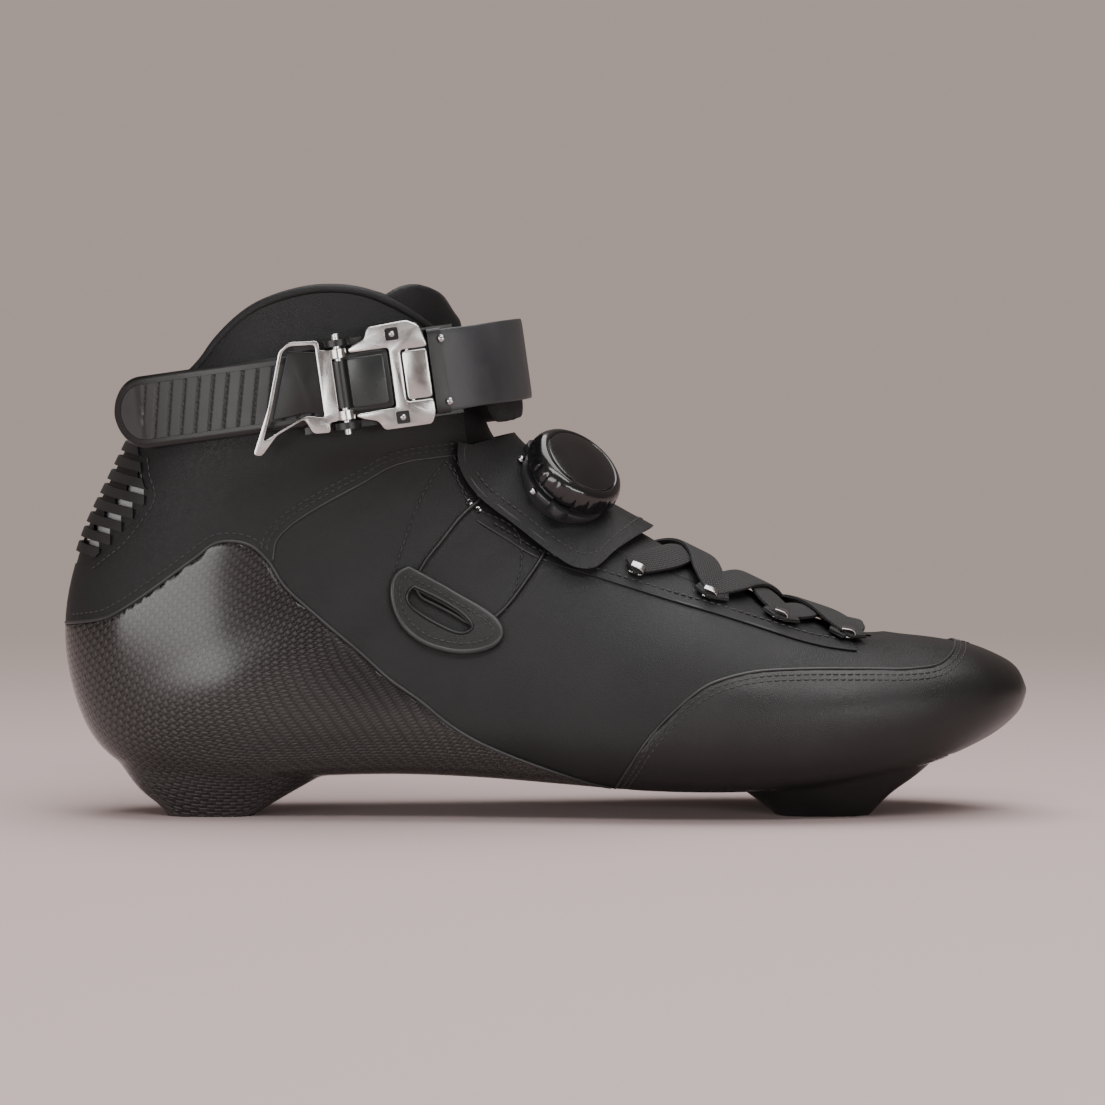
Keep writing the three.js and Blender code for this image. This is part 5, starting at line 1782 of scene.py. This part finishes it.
    def knob(self, seat: Matrix) -> None:
        """Builds the knob with its finger grooves, and its cap.

        Args:
            seat: From the dial's frame to the model's frame.
        """
        sides = 288
        angle = 2 * np.pi * np.arange(sides) / sides
        groove = np.clip(1.6 * np.cos(24 * angle) - 0.5, 0, 1)
        top, r = self.height, self.radius
        profile = (
            (12.1, top - 0.9, 0), (12.4, top - 0.55, 0), (12.9, top - 0.5, 0), (13.7, top - 0.8, 0),
            (14.6, top - 1.5, 0), (15.3, top - 2.5, 0.2), (15.8, top - 3.7, 0.7),
            (r, top - 4.8, 1), (r, 5.2, 1), (r - 0.3, 4.5, 0.8),
            (r - 0.9, 4.0, 0.2), (14.2, 4.0, 0), (14.1, 9.6, 0), (13.6, 10.0, 0),
        )
        rows = []
        for q, z, deep in profile:
            reach = q - 0.3 * deep * groove
            rows.append(np.stack([reach * np.cos(angle), reach * np.sin(angle), np.full(sides, z)], -1) * MM)
        knob = settle(grid("dial knob", np.array(rows)), seat)
        dress(soften(knob, 45), GLOSS_PLASTIC, "dial_knob", "dial_knob")
        cap = lathe("dial cap", [
            (11.9, top - 1.2), (12.05, top - 0.7), (11.9, top - 0.45), (10.8, top - 0.2), (6, top + 0.1),
            (2, top + 0.2),
        ])
        dress(soften(settle(cap, seat), 40), GLOSS_PLASTIC, "dial_knob", "dial_cap")


# ------------------------------------------------------------------ ankle strap
@dataclass
class AnkleStrap:
    """The ladder strap, the front band with its pad, and the ratchet buckle.

    Attributes:
        radius: Radius of the circle that the ladder feeds along, in millimetres.
        centre: That circle's centre in the strap's own frame.
        thickness: Thickness of the straps.
        tooth: Height of the ladder's teeth.
        pitch: Distance from tooth to tooth.
        half: Half of the ladder's width.
        tail: Place of the ladder's free end along its circle.
        head: Place of its held end along its circle.
        band: Places of the front band's line, seen from the ladder's edge.
        matrix: From the strap's own frame to the model's frame.
    """

    radius: float = 110.0
    centre: Place = (-8.0, 69.5)
    thickness: float = 2.2
    tooth: float = 0.9
    pitch: float = 4.6
    half: float = 11.0
    tail: float = -66.0
    head: float = 43.0
    band: tuple[Place, ...] = (
        (27, -38.6), (34, -36.8), (41, -33), (47.5, -26.5), (52, -17), (53.8, -6), (53.8, 5), (51, 16),
        (45, 25.5), (36, 32.5), (25, 36.8), (12, 39.2), (0, 39.9), (-12, 39.6), (-22, 38.4),
    )
    matrix: Matrix = field(default_factory=Matrix)

    def __post_init__(self) -> None:
        """Finds the strap's own frame from the ladder's joint: x along it, z up across it."""
        joint = next(j for j in frame["joints"] if j["name"] == "ladder_feed")
        up = -Vector(joint["axis"]).normalized()
        along = Vector((up.z, 0, -up.x))
        turn = Matrix((along, (0, 1, 0), up)).transposed()
        place = Vector(joint["pos_m"]) - turn @ Vector((self.centre[0], self.centre[1], 0)) * MM
        self.matrix = Matrix.Translation(place) @ turn.to_4x4()

    @property
    def top(self) -> float:
        """Radius of the ladder's outer face."""
        return self.radius + self.thickness

    def feed(self, s: Array | float, radius: Array | float, z: Array | float) -> Array:
        """Finds points along the ladder's circle.

        Args:
            s: Distance along it in millimetres.
            radius: Distance from its centre.
            z: Height across it.

        Returns:
            Points in the strap's frame, in metres.
        """
        s, radius, z = np.broadcast_arrays(*(np.asarray(value, float) for value in (s, radius, z)))
        angle = s / self.radius
        x = self.centre[0] + radius * np.sin(angle)
        y = self.centre[1] - radius * np.cos(angle)
        return np.stack([x, y, z], -1) * MM

    def place(
        self, obj: bpy.types.Object, finish: Finish, body: str, *nodes: str, angle: float = 40
    ) -> bpy.types.Object:
        """Settles a piece from the strap's own frame, shades it and dresses it."""
        return dress(soften(settle(obj, self.matrix), angle), finish, body, *nodes)

    def build(self) -> None:
        """Builds and dresses the pieces."""
        self.ladder()
        self.front_band()
        self.base()
        self.frame()
        self.lever()
        self.tab()
        self.anchor()

    def outline_at(self, s: float, inset: float) -> float:
        """Finds the ladder's half width, which rounds off at the free end.

        Args:
            s: Distance along the ladder.
            inset: Distance in from its edge.

        Returns:
            The half width in millimetres.
        """
        half = self.half - inset
        start = self.tail + inset
        if s >= start + half:
            return half
        return half * math.sqrt(max(1 - ((start + half - s) / half) ** 2, 0.0004))

    def strip(
        self, name: str, inset: float, low: float, high: Callable[[Array, Array], Array], columns: int
    ) -> bpy.types.Object:
        """Builds a strip of the ladder whose outer face has its own heights.

        Args:
            name: The piece's name.
            inset: Distance in from the ladder's edge.
            low: Radius of its inner face.
            high: Gives the outer face's radius at s and z.
            columns: Points across.

        Returns:
            The object.
        """
        start = self.tail + inset
        ends = start + (self.half - inset) * (1 - np.cos(np.linspace(0.02, np.pi / 2, 18)))
        stations = np.concatenate([ends, np.arange(ends[-1] + 0.4, self.head, 0.4)])
        rows = []
        for s in stations:
            width = self.outline_at(s, inset)
            z = np.linspace(-width, width, columns)
            face = self.feed(s, high(np.full(columns, s), z), z)
            back = self.feed(s, low, z[::-1])
            rows.append(np.concatenate([face, back]))
        return grid(name, np.array(rows))

    def ladder(self) -> None:
        """Builds the toothed strap: a dark rim and a ribbed face."""
        rim = 2.5

        def edge(s: Array, z: Array) -> Array:
            """Gives the rim's outer radius at s and z."""
            width = np.array([self.outline_at(k, 0) for k in s])
            near = np.clip((width - np.abs(z)) / 0.7, 0, 1)
            return self.top + 0.35 - 0.45 * (1 - near) ** 2

        def ribs(s: Array, z: Array) -> Array:
            """Gives the ribbed face's outer radius at s and z."""
            phase = ((s - 0.24 * z) / self.pitch) % 1
            rise = np.clip(phase / 0.16, 0, 1) * np.clip((1 - phase) / 0.1, 0, 1)
            live = np.clip((s - self.tail - 9) / 2, 0, 1)
            rib = (self.tooth - 0.1) * (rise * (0.75 + 0.25 * phase)) * live
            return self.top + 0.05 + rib + 0.25 * (1 - live)

        body = self.strip("ladder strap", 0, self.radius, edge, 30)
        room = self.strip("room", rim, self.top - 0.45, lambda s, z: np.full_like(s, self.top + 3), 20)
        combine(body, room, Operation.CUT)
        self.place(body, BLACK_PLASTIC, "ladder", "ladder_strap", angle=35)
        face = self.strip("ladder face", rim + 0.1, self.top - 0.6, ribs, 26)
        self.place(face, LADDER_GREY, "ladder", angle=25)

    def band_line(self, first: float = 0.0, last: float = 1.0, shift: float = 0.0) -> tuple[Array, Array]:
        """Finds the band's line and its outward directions.

        Args:
            first: Share of the way along where it starts.
            last: Share of the way along where it ends.
            shift: Distance outward in millimetres.

        Returns:
            Points in the strap's frame in metres, and normals.
        """
        line = evenly(smooth(self.band, 1.0), 1.0)
        line = line[int(first * (len(line) - 1)): int(last * (len(line) - 1)) + 1]
        tangent = np.gradient(line, axis=0)
        tangent /= np.linalg.norm(tangent, axis=1, keepdims=True)
        normals = np.stack([tangent[:, 1], -tangent[:, 0], np.zeros(len(line))], -1)
        points = np.stack([line[:, 0], line[:, 1], np.zeros(len(line))], -1) + normals * shift
        return points * MM, normals

    def front_band(self) -> None:
        """Builds the band, its folded keeper and its pad."""
        points, normals = self.band_line()
        count = len(points) - 1

        def shape(t: float) -> Array:
            """Gives the band's cross-section at a share t of the way along."""
            crown = 0.35 * math.exp(-((t * count - 15) / 5) ** 2)
            return flat_section((25 - crown) * MM, self.thickness * MM, 40, 9)

        self.place(sweep("strap band", points, normals, shape), STRAP_FINISH, "boot", "strap_band", angle=50)
        points, normals = self.band_line(0.0, 0.115, -0.4)
        fold = sweep("folded end", points[:5], normals[:5], flat_section(26.0 * MM, 3.2 * MM, 32, 7))
        self.place(fold, BLACK_PLASTIC, "boot", angle=50)
        self.pad()

    def pad(self) -> None:
        """Builds the soft pad under the band; a cloth simulation fills it out by pressure, with its movement
        kept small.
        """
        points, normals = self.band_line(0.14, 0.62, -7.6)
        count = len(points) - 1

        def shape(t: float) -> Array:
            """Gives the pad's cross-section at a share t of the way along."""
            end = min(t, 1 - t) * count
            round_off = math.sqrt(max(1 - max(1 - end / 7, 0) ** 2, 0.05))
            return flat_section(31 * MM * round_off, 6.6 * MM * min(round_off + 0.2, 1), 40, 4.5)

        pad = sweep("strap pad", points - np.array([0, 0, 3.2 * MM]), normals, shape)
        modify(pad, "REMESH", mode="VOXEL", voxel_size=2.0 * MM)
        inflate(pad, 4.0, 1.2 * MM)
        modify(pad, "SUBSURF", levels=1)
        self.place(pad, KNIT, "boot", "strap_pad", angle=70)

    @property
    def pin(self) -> tuple[float, float]:
        """The lever pin's distance along the circle and its radius from the centre."""
        radius = self.top + self.tooth + 3.2
        return self.radius * math.asin(-self.centre[0] / radius), radius

    def across_pin(self, name: str, s: float, radius: float, profile: Sequence[Place]) -> bpy.types.Object:
        """Turns a profile in millimetres about a pin that lies across the strap at s and radius."""
        return settle(lathe(name, profile, 40), Matrix.Translation(Vector(self.feed(s, radius, 0.0))))

    def bar(
        self, name: str, r0: float, r1: float, s0: float, s1: float, z0: float, z1: float
    ) -> bpy.types.Object:
        """Builds a bent bar along the ladder's circle.

        Args:
            name: The piece's name.
            r0: Inner radius.
            r1: Outer radius.
            s0: Start along the circle.
            s1: End along the circle.
            z0: Lower edge.
            z1: Upper edge.

        Returns:
            The object in the strap's frame.
        """
        stations = np.linspace(s0, s1, 24)
        corners = ((r0, z0), (r1, z0), (r1, z1), (r0, z1))
        rows = np.array([[self.feed(s, r, z) for r, z in corners] for s in stations])
        return grid(name, rows)

    def base(self) -> None:
        """Builds the buckle's base with its cheeks, and the two pins."""
        under = self.radius - 0.6
        inside = self.half + 0.6
        outside = inside + 2
        pin_s, pin_r = self.pin
        body = self.bar("buckle base", under - 2.8, under, -5, 43, -outside, outside)
        for z0, z1 in ((-outside, -inside), (inside, outside)):
            cheek = self.bar("cheek", under - 0.5, self.top + self.tooth + 0.2, -5, 43, z0, z1)
            combine(body, cheek, Operation.JOIN)
            ear = self.across_pin("ear", pin_s, pin_r, [(4.2, z0), (4.2, z1)])
            combine(body, ear, Operation.JOIN)
        round_edges(body, 0.35, 2, 40)
        self.place(body, BLACK_PLASTIC, "boot", "buckle_base", angle=40)
        head = [(0.9, -15.5), (1.3, -15.2), (1.3, 15.2), (0.9, 15.5)]
        self.place(self.across_pin("lever pin", pin_s, pin_r, head), STEEL, "boot", "lever_pin")
        tab_r = self.top + self.tooth + 2.6
        head = [(0.6, -14.2), (0.9, -14), (0.9, 14), (0.6, 14.2)]
        self.place(self.across_pin("tab pin", 27.5, tab_r, head), STEEL, "boot", "tab_pin")

    def plate(self, name: str, outline: Sequence[Place], y0: float, y1: float,
              holes: Sequence[Sequence[Place]] = (), soft: float = 0.45) -> bpy.types.Object:
        """Builds a flat plate with holes and rounded edges.

        Args:
            name: The piece's name.
            outline: Its outline, x along the strap and z across it.
            y0: Outer face.
            y1: Inner face.
            holes: Outlines of its holes.
            soft: Width of the rounded edges in millimetres.

        Returns:
            The object in the strap's frame.
        """
        corner = 1.1
        made = prism(name, rounded_outline(np.array(outline, float), corner) * MM, y0 * MM, y1 * MM)
        for hole in holes:
            opening = rounded_outline(np.array(hole, float), corner) * MM
            combine(made, prism("hole", opening, (y0 - 2) * MM, (y1 + 2) * MM), Operation.CUT)
        round_edges(made, soft, 3, 50)
        return made

    @property
    def tab_centre(self) -> Array:
        """The tab pin's place in the strap's frame, in millimetres."""
        return self.feed(27.5, self.top + self.tooth + 2.6, 0.0) / MM

    def frame(self) -> None:
        """Builds the silver frame with its pockets."""
        low = self.tab_centre[1] - 2.1
        outline = [
            (3.2, 9), (3.2, 10.6), (8.4, 12.6), (9.8, 16), (22, 16.6), (25.6, 14.4), (27, 9.2), (27, 7.9),
            (18.8, 7.9), (18.8, -7.9), (27, -7.9), (27, -12.2), (25.6, -15.6), (11, -15.6), (9.4, -12.6),
            (3.2, -10.8), (3.2, -9.4), (15.4, -9), (15.4, 9),
        ]
        face = self.plate("buckle frame", outline, low - 1.4, low, soft=0.4)
        for z in (13.0, -12.4):
            room = np.array([(15, z - 1.9), (19, z - 1.9), (19, z + 1.9), (15, z + 1.9)])
            pocket = prism("pocket", rounded_outline(room, 0.6) * MM, (low - 3) * MM, (low - 0.5) * MM)
            combine(face, pocket, Operation.CUT)
            floor = prism("pocket floor", room * MM, (low - 0.62) * MM, (low - 0.45) * MM)
            self.place(floor, BLACK_PLASTIC, "boot")
            stud = settle(lathe("pocket pin", [(0.9, 0), (0.9, 0.7), (0.5, 1.0)], 24),
                          Matrix.Translation((17 * MM, (low - 0.5) * MM, z * MM))
                          @ Matrix.Rotation(math.pi / 2, 4, "X"))
            self.place(stud, STEEL, "boot")
        side = self.half + 2.6 + 0.36
        for z0, z1 in ((-side - 1.4, -side), (side, side + 1.4)):
            cheek = np.array([(16, low - 0.6), (25, low - 0.6), (25, low + 4.4), (16, low + 4.4)])
            wing = prism("wing", rounded_outline(cheek, 1.0) * MM, z0 * MM, z1 * MM)
            wing.data.transform(Matrix(((1, 0, 0, 0), (0, 0, 1, 0), (0, 1, 0, 0), (0, 0, 0, 1))))
            tidy_faces(wing)
            combine(face, wing, Operation.JOIN)
        self.place(face, SILVER, "boot", "buckle_frame")

    def lever(self) -> None:
        """Builds the skeleton lever, its dark web and the pawl that it drives."""
        pin_s, pin_r = self.pin
        centre = self.feed(pin_s, pin_r, 0.0) / MM
        low = centre[1] + 0.6
        outline = [
            (-2, 10.9), (-5.2, 10.9), (-5.2, 14), (-14, 14.8), (-17.4, 12.6), (-23, -4), (-29.4, -17.4),
            (-27, -18.2), (-21.6, -12.6), (-12.6, -8.8), (-10.4, -13.6), (-5.2, -14), (-5.2, -10.9),
            (-2, -10.9),
        ]
        window = [
            (-14.2, 13.6), (-16.4, 12.2), (-22.2, -5), (-26, -14), (-21, -11.6), (-12, -7.9),
            (-6.4, -9.2), (-6.4, 13),
        ]
        lever = self.plate("buckle lever", outline, low - 2.2, low, [window], soft=0.6)
        for z0 in (-10.9, 7.9):
            profile = [(2.6, z0), (2.8, z0 + 0.2), (2.8, z0 + 2.8), (2.6, z0 + 3)]
            ear = self.across_pin("ear", pin_s, pin_r, profile)
            combine(lever, ear, Operation.JOIN)
        self.place(lever, SILVER, "lever", "buckle_lever", angle=35)
        outline = [(-6, 10.6), (-15, 12.2), (-22.4, -8), (-11.6, -7), (-6, -8.4)]
        web = self.plate("lever web", outline, low + 0.3, low + 1.4, soft=0.2)
        self.place(web, BLACK_PLASTIC, "lever", "lever_web")
        pawl = self.across_pin("drive pawl", pin_s, pin_r, [(2.6, -7.2), (2.6, 7.2)])
        outline = [(0, 8.7), (14.9, 8.7), (14.9, -8.7), (0, -8.7)]
        arm = self.plate("arm", outline, centre[1] + 0.2, centre[1] + 1.6, soft=0.2)
        outline = [(5.5, 6.4), (8.5, 6.4), (8.5, -6.4), (5.5, -6.4)]
        nose = self.plate("nose", outline, centre[1] + 1.5, centre[1] + 3.2, soft=0.2)
        combine(combine(pawl, arm, Operation.JOIN), nose, Operation.JOIN)
        self.place(pawl, BLACK_PLASTIC, "pawl", "drive_pawl")
        outline = [(2.4, 7.5), (13.6, 7.5), (13.6, -7.5), (2.4, -7.5)]
        cover = self.plate("pawl cover", outline, centre[1] - 0.35, centre[1] + 0.4, soft=0.3)
        self.place(cover, PLATE_GREEN, "pawl")

    def tab(self) -> None:
        """Builds the release tab."""
        centre = self.tab_centre
        low = centre[1] - 2.1
        outline = [(19.2, 7.4), (26.8, 7.4), (26.8, -7.4), (19.2, -7.4)]
        tab = self.plate("release tab", outline, low - 1.2, low + 0.3, soft=0.35)
        barrel = self.across_pin("barrel", 27.5, self.top + self.tooth + 2.6, [(2.1, -7.3), (2.1, 7.3)])
        nose = self.plate("nose", [(14.6, 6.4), (20.5, 6.4), (20.5, -6.4), (14.6, -6.4)], centre[1] - 0.8,
                          centre[1] + 1.2, soft=0.2)
        combine(combine(tab, barrel, Operation.JOIN), nose, Operation.JOIN)
        self.place(tab, SILVER, "release_tab", "release_tab", angle=35)

    def anchor(self) -> None:
        """Builds the rivets, the inner anchor plate and its screws."""
        head = [(1.2, 0), (1.2, 0.3), (1.0, 0.6), (0.5, 0.75), (0.2, 0.8)]
        for label, z in (("upper", 9.6), ("lower", -9.6)):
            rivet = lathe(f"band rivet {label}", head, 40)
            settle(rivet, Matrix.Translation(Vector((31.5, -38.6 - self.thickness - 0.1, z)) * MM)
                   @ Matrix.Rotation(math.radians(90), 4, "X"))
            self.place(rivet, STEEL, "boot", f"band_rivet_{label}")
        y = 39.2 + self.thickness + 1.3
        outline = [(-20, 9), (-4, 9), (-4, -9), (-20, -9)]
        plate = self.plate("strap anchor", outline, y - 1.0, y + 1.4, soft=0.5)
        self.place(plate, BLACK_PLASTIC, "boot", "strap_anchor")
        for label, z in (("upper", 4.5), ("lower", -4.5)):
            head = [(2.3, 0), (2.3, 0.3), (1.9, 0.8), (1.1, 0.9), (1.0, 0.3)]
            screw = lathe(f"anchor screw {label}", head, 40)
            settle(screw, Matrix.Translation(Vector((-12, y + 1.4, z)) * MM)
                   @ Matrix.Rotation(math.radians(-90), 4, "X"))
            self.place(screw, STEEL, "boot", f"anchor_screw_{label}")


def rounded_outline(corners: Array, radius: float, steps: int = 4) -> Array:
    """Rounds the corners of an outline.

    Args:
        corners: The corners in order.
        radius: Greatest distance from a corner to where its rounding starts.
        steps: Points on each corner.

    Returns:
        The rounded outline.
    """
    line = []
    for i, corner in enumerate(corners):
        before, after = corners[i - 1], corners[(i + 1) % len(corners)]
        reach = [min(radius, 0.42 * np.linalg.norm(p - corner)) for p in (before, after)]
        start = corner + (before - corner) / np.linalg.norm(before - corner) * reach[0]
        stop = corner + (after - corner) / np.linalg.norm(after - corner) * reach[1]
        for t in np.linspace(0, 1, steps):
            line.append((1 - t) ** 2 * start + 2 * t * (1 - t) * corner + t**2 * stop)
    return np.array(line)


def inflate(obj: bpy.types.Object, pressure: float, limit: float) -> None:
    """Fills a soft piece out with a cloth simulation and keeps its movement small.

    Args:
        obj: The piece, a closed mesh.
        pressure: Pressure inside.
        limit: Farthest that any point may move, in metres.
    """
    before = vertices(obj)
    choose(obj)
    added = obj.modifiers.new("Cloth", "CLOTH")
    cloth = added.settings
    cloth.quality = 5
    cloth.mass = 0.2
    cloth.use_pressure = True
    cloth.uniform_pressure_force = pressure
    cloth.tension_stiffness = 20
    cloth.compression_stiffness = 20
    cloth.bending_stiffness = 2
    cloth.effector_weights.gravity = 0
    scene = bpy.context.scene
    for number in range(1, 21):
        scene.frame_set(number)
    bpy.ops.object.modifier_apply(modifier=added.name)
    scene.frame_set(1)
    after = vertices(obj)
    moved = after - before
    far = np.linalg.norm(moved, axis=1, keepdims=True)
    moved *= np.minimum(1, limit / np.maximum(far, 1e-9))
    obj.data.vertices.foreach_set("co", (before + moved).ravel())
    obj.data.update()


# ------------------------------------------------------------------ studio
@dataclass(frozen=True)
class Lamp:
    """A rectangular soft light.

    Attributes:
        name: Its name.
        place: Where it stands, in metres.
        size: Width and height in metres.
        power: Power in watts.
        aim: The point that it faces.
    """

    name: str
    place: tuple[float, float, float]
    size: tuple[float, float]
    power: float
    aim: tuple[float, float, float] = (0.0, 0.0, 0.07)

    def build(self) -> None:
        """Adds the light."""
        bare()
        bpy.ops.object.light_add(type="AREA", location=self.place)
        lamp = bpy.context.active_object
        lamp.name = self.name
        lamp.data.shape = "RECTANGLE"
        lamp.data.size, lamp.data.size_y = self.size
        lamp.data.energy = self.power
        lamp.data.color = (1.0, 0.99, 0.985)
        lamp.rotation_euler = (Vector(self.aim) - Vector(self.place)).to_track_quat("-Z", "Y").to_euler()


@dataclass
class Studio:
    """The floor, the lights and the camera.

    Attributes:
        tone: Linear colour of the floor and the background.
        fill: Strength of the light that comes from all round.
        distance: Distance of the camera in metres.
        rise: Elevation of the camera in degrees.
        span: Width of the view at the boot in metres.
        lamps: The lights.
        tint: How much lighter the floor is than the background, by colour.
    """

    tone: tuple[float, float, float] = (0.437, 0.354, 0.32)
    fill: float = 0.5
    distance: float = 1.5
    rise: float = 2.5
    span: float = 0.3453
    tint: tuple[float, float, float] = (1.22, 1.22, 1.32)
    lamps: tuple[Lamp, ...] = (
        Lamp("left softbox", (-0.84, -1.14, 0.17), (1.15, 0.42), 9.0),
        Lamp("top softbox", (0.1, 0.1, 1.3), (1.6, 1.0), 22.5),
        Lamp("front strip", (0.2, -1.05, 1.15), (1.4, 0.3), 11.0),
        Lamp("low strip", (0.62, -1.1, 0.22), (0.9, 0.16), 3.8),
    )

    def build(self) -> None:
        """Builds the studio."""
        self.floor()
        for lamp in self.lamps:
            lamp.build()
        world = bpy.context.scene.world or bpy.data.worlds.new("studio")
        bpy.context.scene.world = world
        world.use_nodes = True
        tree = world.node_tree
        shown = tree.nodes["Background"]
        shown.inputs["Color"].default_value = (*self.tone, 1)
        fill = tree.nodes.new("ShaderNodeBackground")
        fill.inputs["Color"].default_value = (*self.tone, 1)
        fill.inputs["Strength"].default_value = self.fill
        path = tree.nodes.new("ShaderNodeLightPath")
        mix = tree.nodes.new("ShaderNodeMixShader")
        tree.links.new(path.outputs["Is Camera Ray"], mix.inputs[0])
        tree.links.new(fill.outputs[0], mix.inputs[1])
        tree.links.new(shown.outputs[0], mix.inputs[2])
        tree.links.new(mix.outputs[0], tree.nodes["World Output"].inputs["Surface"])
        self.camera()

    def floor(self) -> None:
        """Builds a plain floor that fades into the background."""
        bare()
        bpy.ops.mesh.primitive_circle_add(vertices=96, radius=12, fill_type="NGON", location=(0, 0, 0))
        floor = taken("floor")
        made = bpy.data.materials.new("plain floor")
        made.use_nodes = True
        tree = made.node_tree
        shader = tree.nodes["Principled BSDF"]
        shader.inputs["Base Color"].default_value = (*(k * c for k, c in zip(self.tint, self.tone)), 1)
        shader.inputs["Roughness"].default_value = 0.9
        shader.inputs["Specular IOR Level"].default_value = 0.1
        glow = tree.nodes.new("ShaderNodeEmission")
        glow.inputs["Color"].default_value = (*self.tone, 1)
        places = tree.nodes.new("ShaderNodeTexCoord")
        split = tree.nodes.new("ShaderNodeSeparateXYZ")
        fade = tree.nodes.new("ShaderNodeMapRange")
        fade.interpolation_type = "SMOOTHSTEP"
        fade.inputs["From Min"].default_value = 0.05
        fade.inputs["From Max"].default_value = 1.1
        mix = tree.nodes.new("ShaderNodeMixShader")
        tree.links.new(places.outputs["Object"], split.inputs[0])
        tree.links.new(split.outputs["Y"], fade.inputs["Value"])
        tree.links.new(fade.outputs[0], mix.inputs[0])
        tree.links.new(shader.outputs[0], mix.inputs[1])
        tree.links.new(glow.outputs[0], mix.inputs[2])
        tree.links.new(mix.outputs[0], tree.nodes["Material Output"].inputs["Surface"])
        floor.data.materials.append(made)

    def camera(self) -> None:
        """Adds the camera, level with the boot and square to its outer side."""
        aim = Vector(to_frame(np.array([151.7, 0.0, 81.3])))
        rise = math.radians(self.rise)
        bare()
        back = Vector((0, -math.cos(rise), math.sin(rise))) * self.distance
        bpy.ops.object.camera_add(location=aim + back)
        camera = bpy.context.active_object
        camera.rotation_euler = (aim - camera.location).to_track_quat("-Z", "Y").to_euler()
        camera.data.sensor_width = 36
        camera.data.lens = 36 * self.distance / self.span
        bpy.context.scene.camera = camera


def main() -> None:
    """Builds the sub-assemblies in order, then the studio."""
    for piece in (Shell(), Upper(), FlexInsert(), Lining(), Lacing(), Dial(), AnkleStrap()):
        log.info("building %s", type(piece).__name__)
        piece.build()
    Studio().build()


if __name__ == "__main__":
    logging.basicConfig(level=logging.INFO, format="%(message)s")
    main()
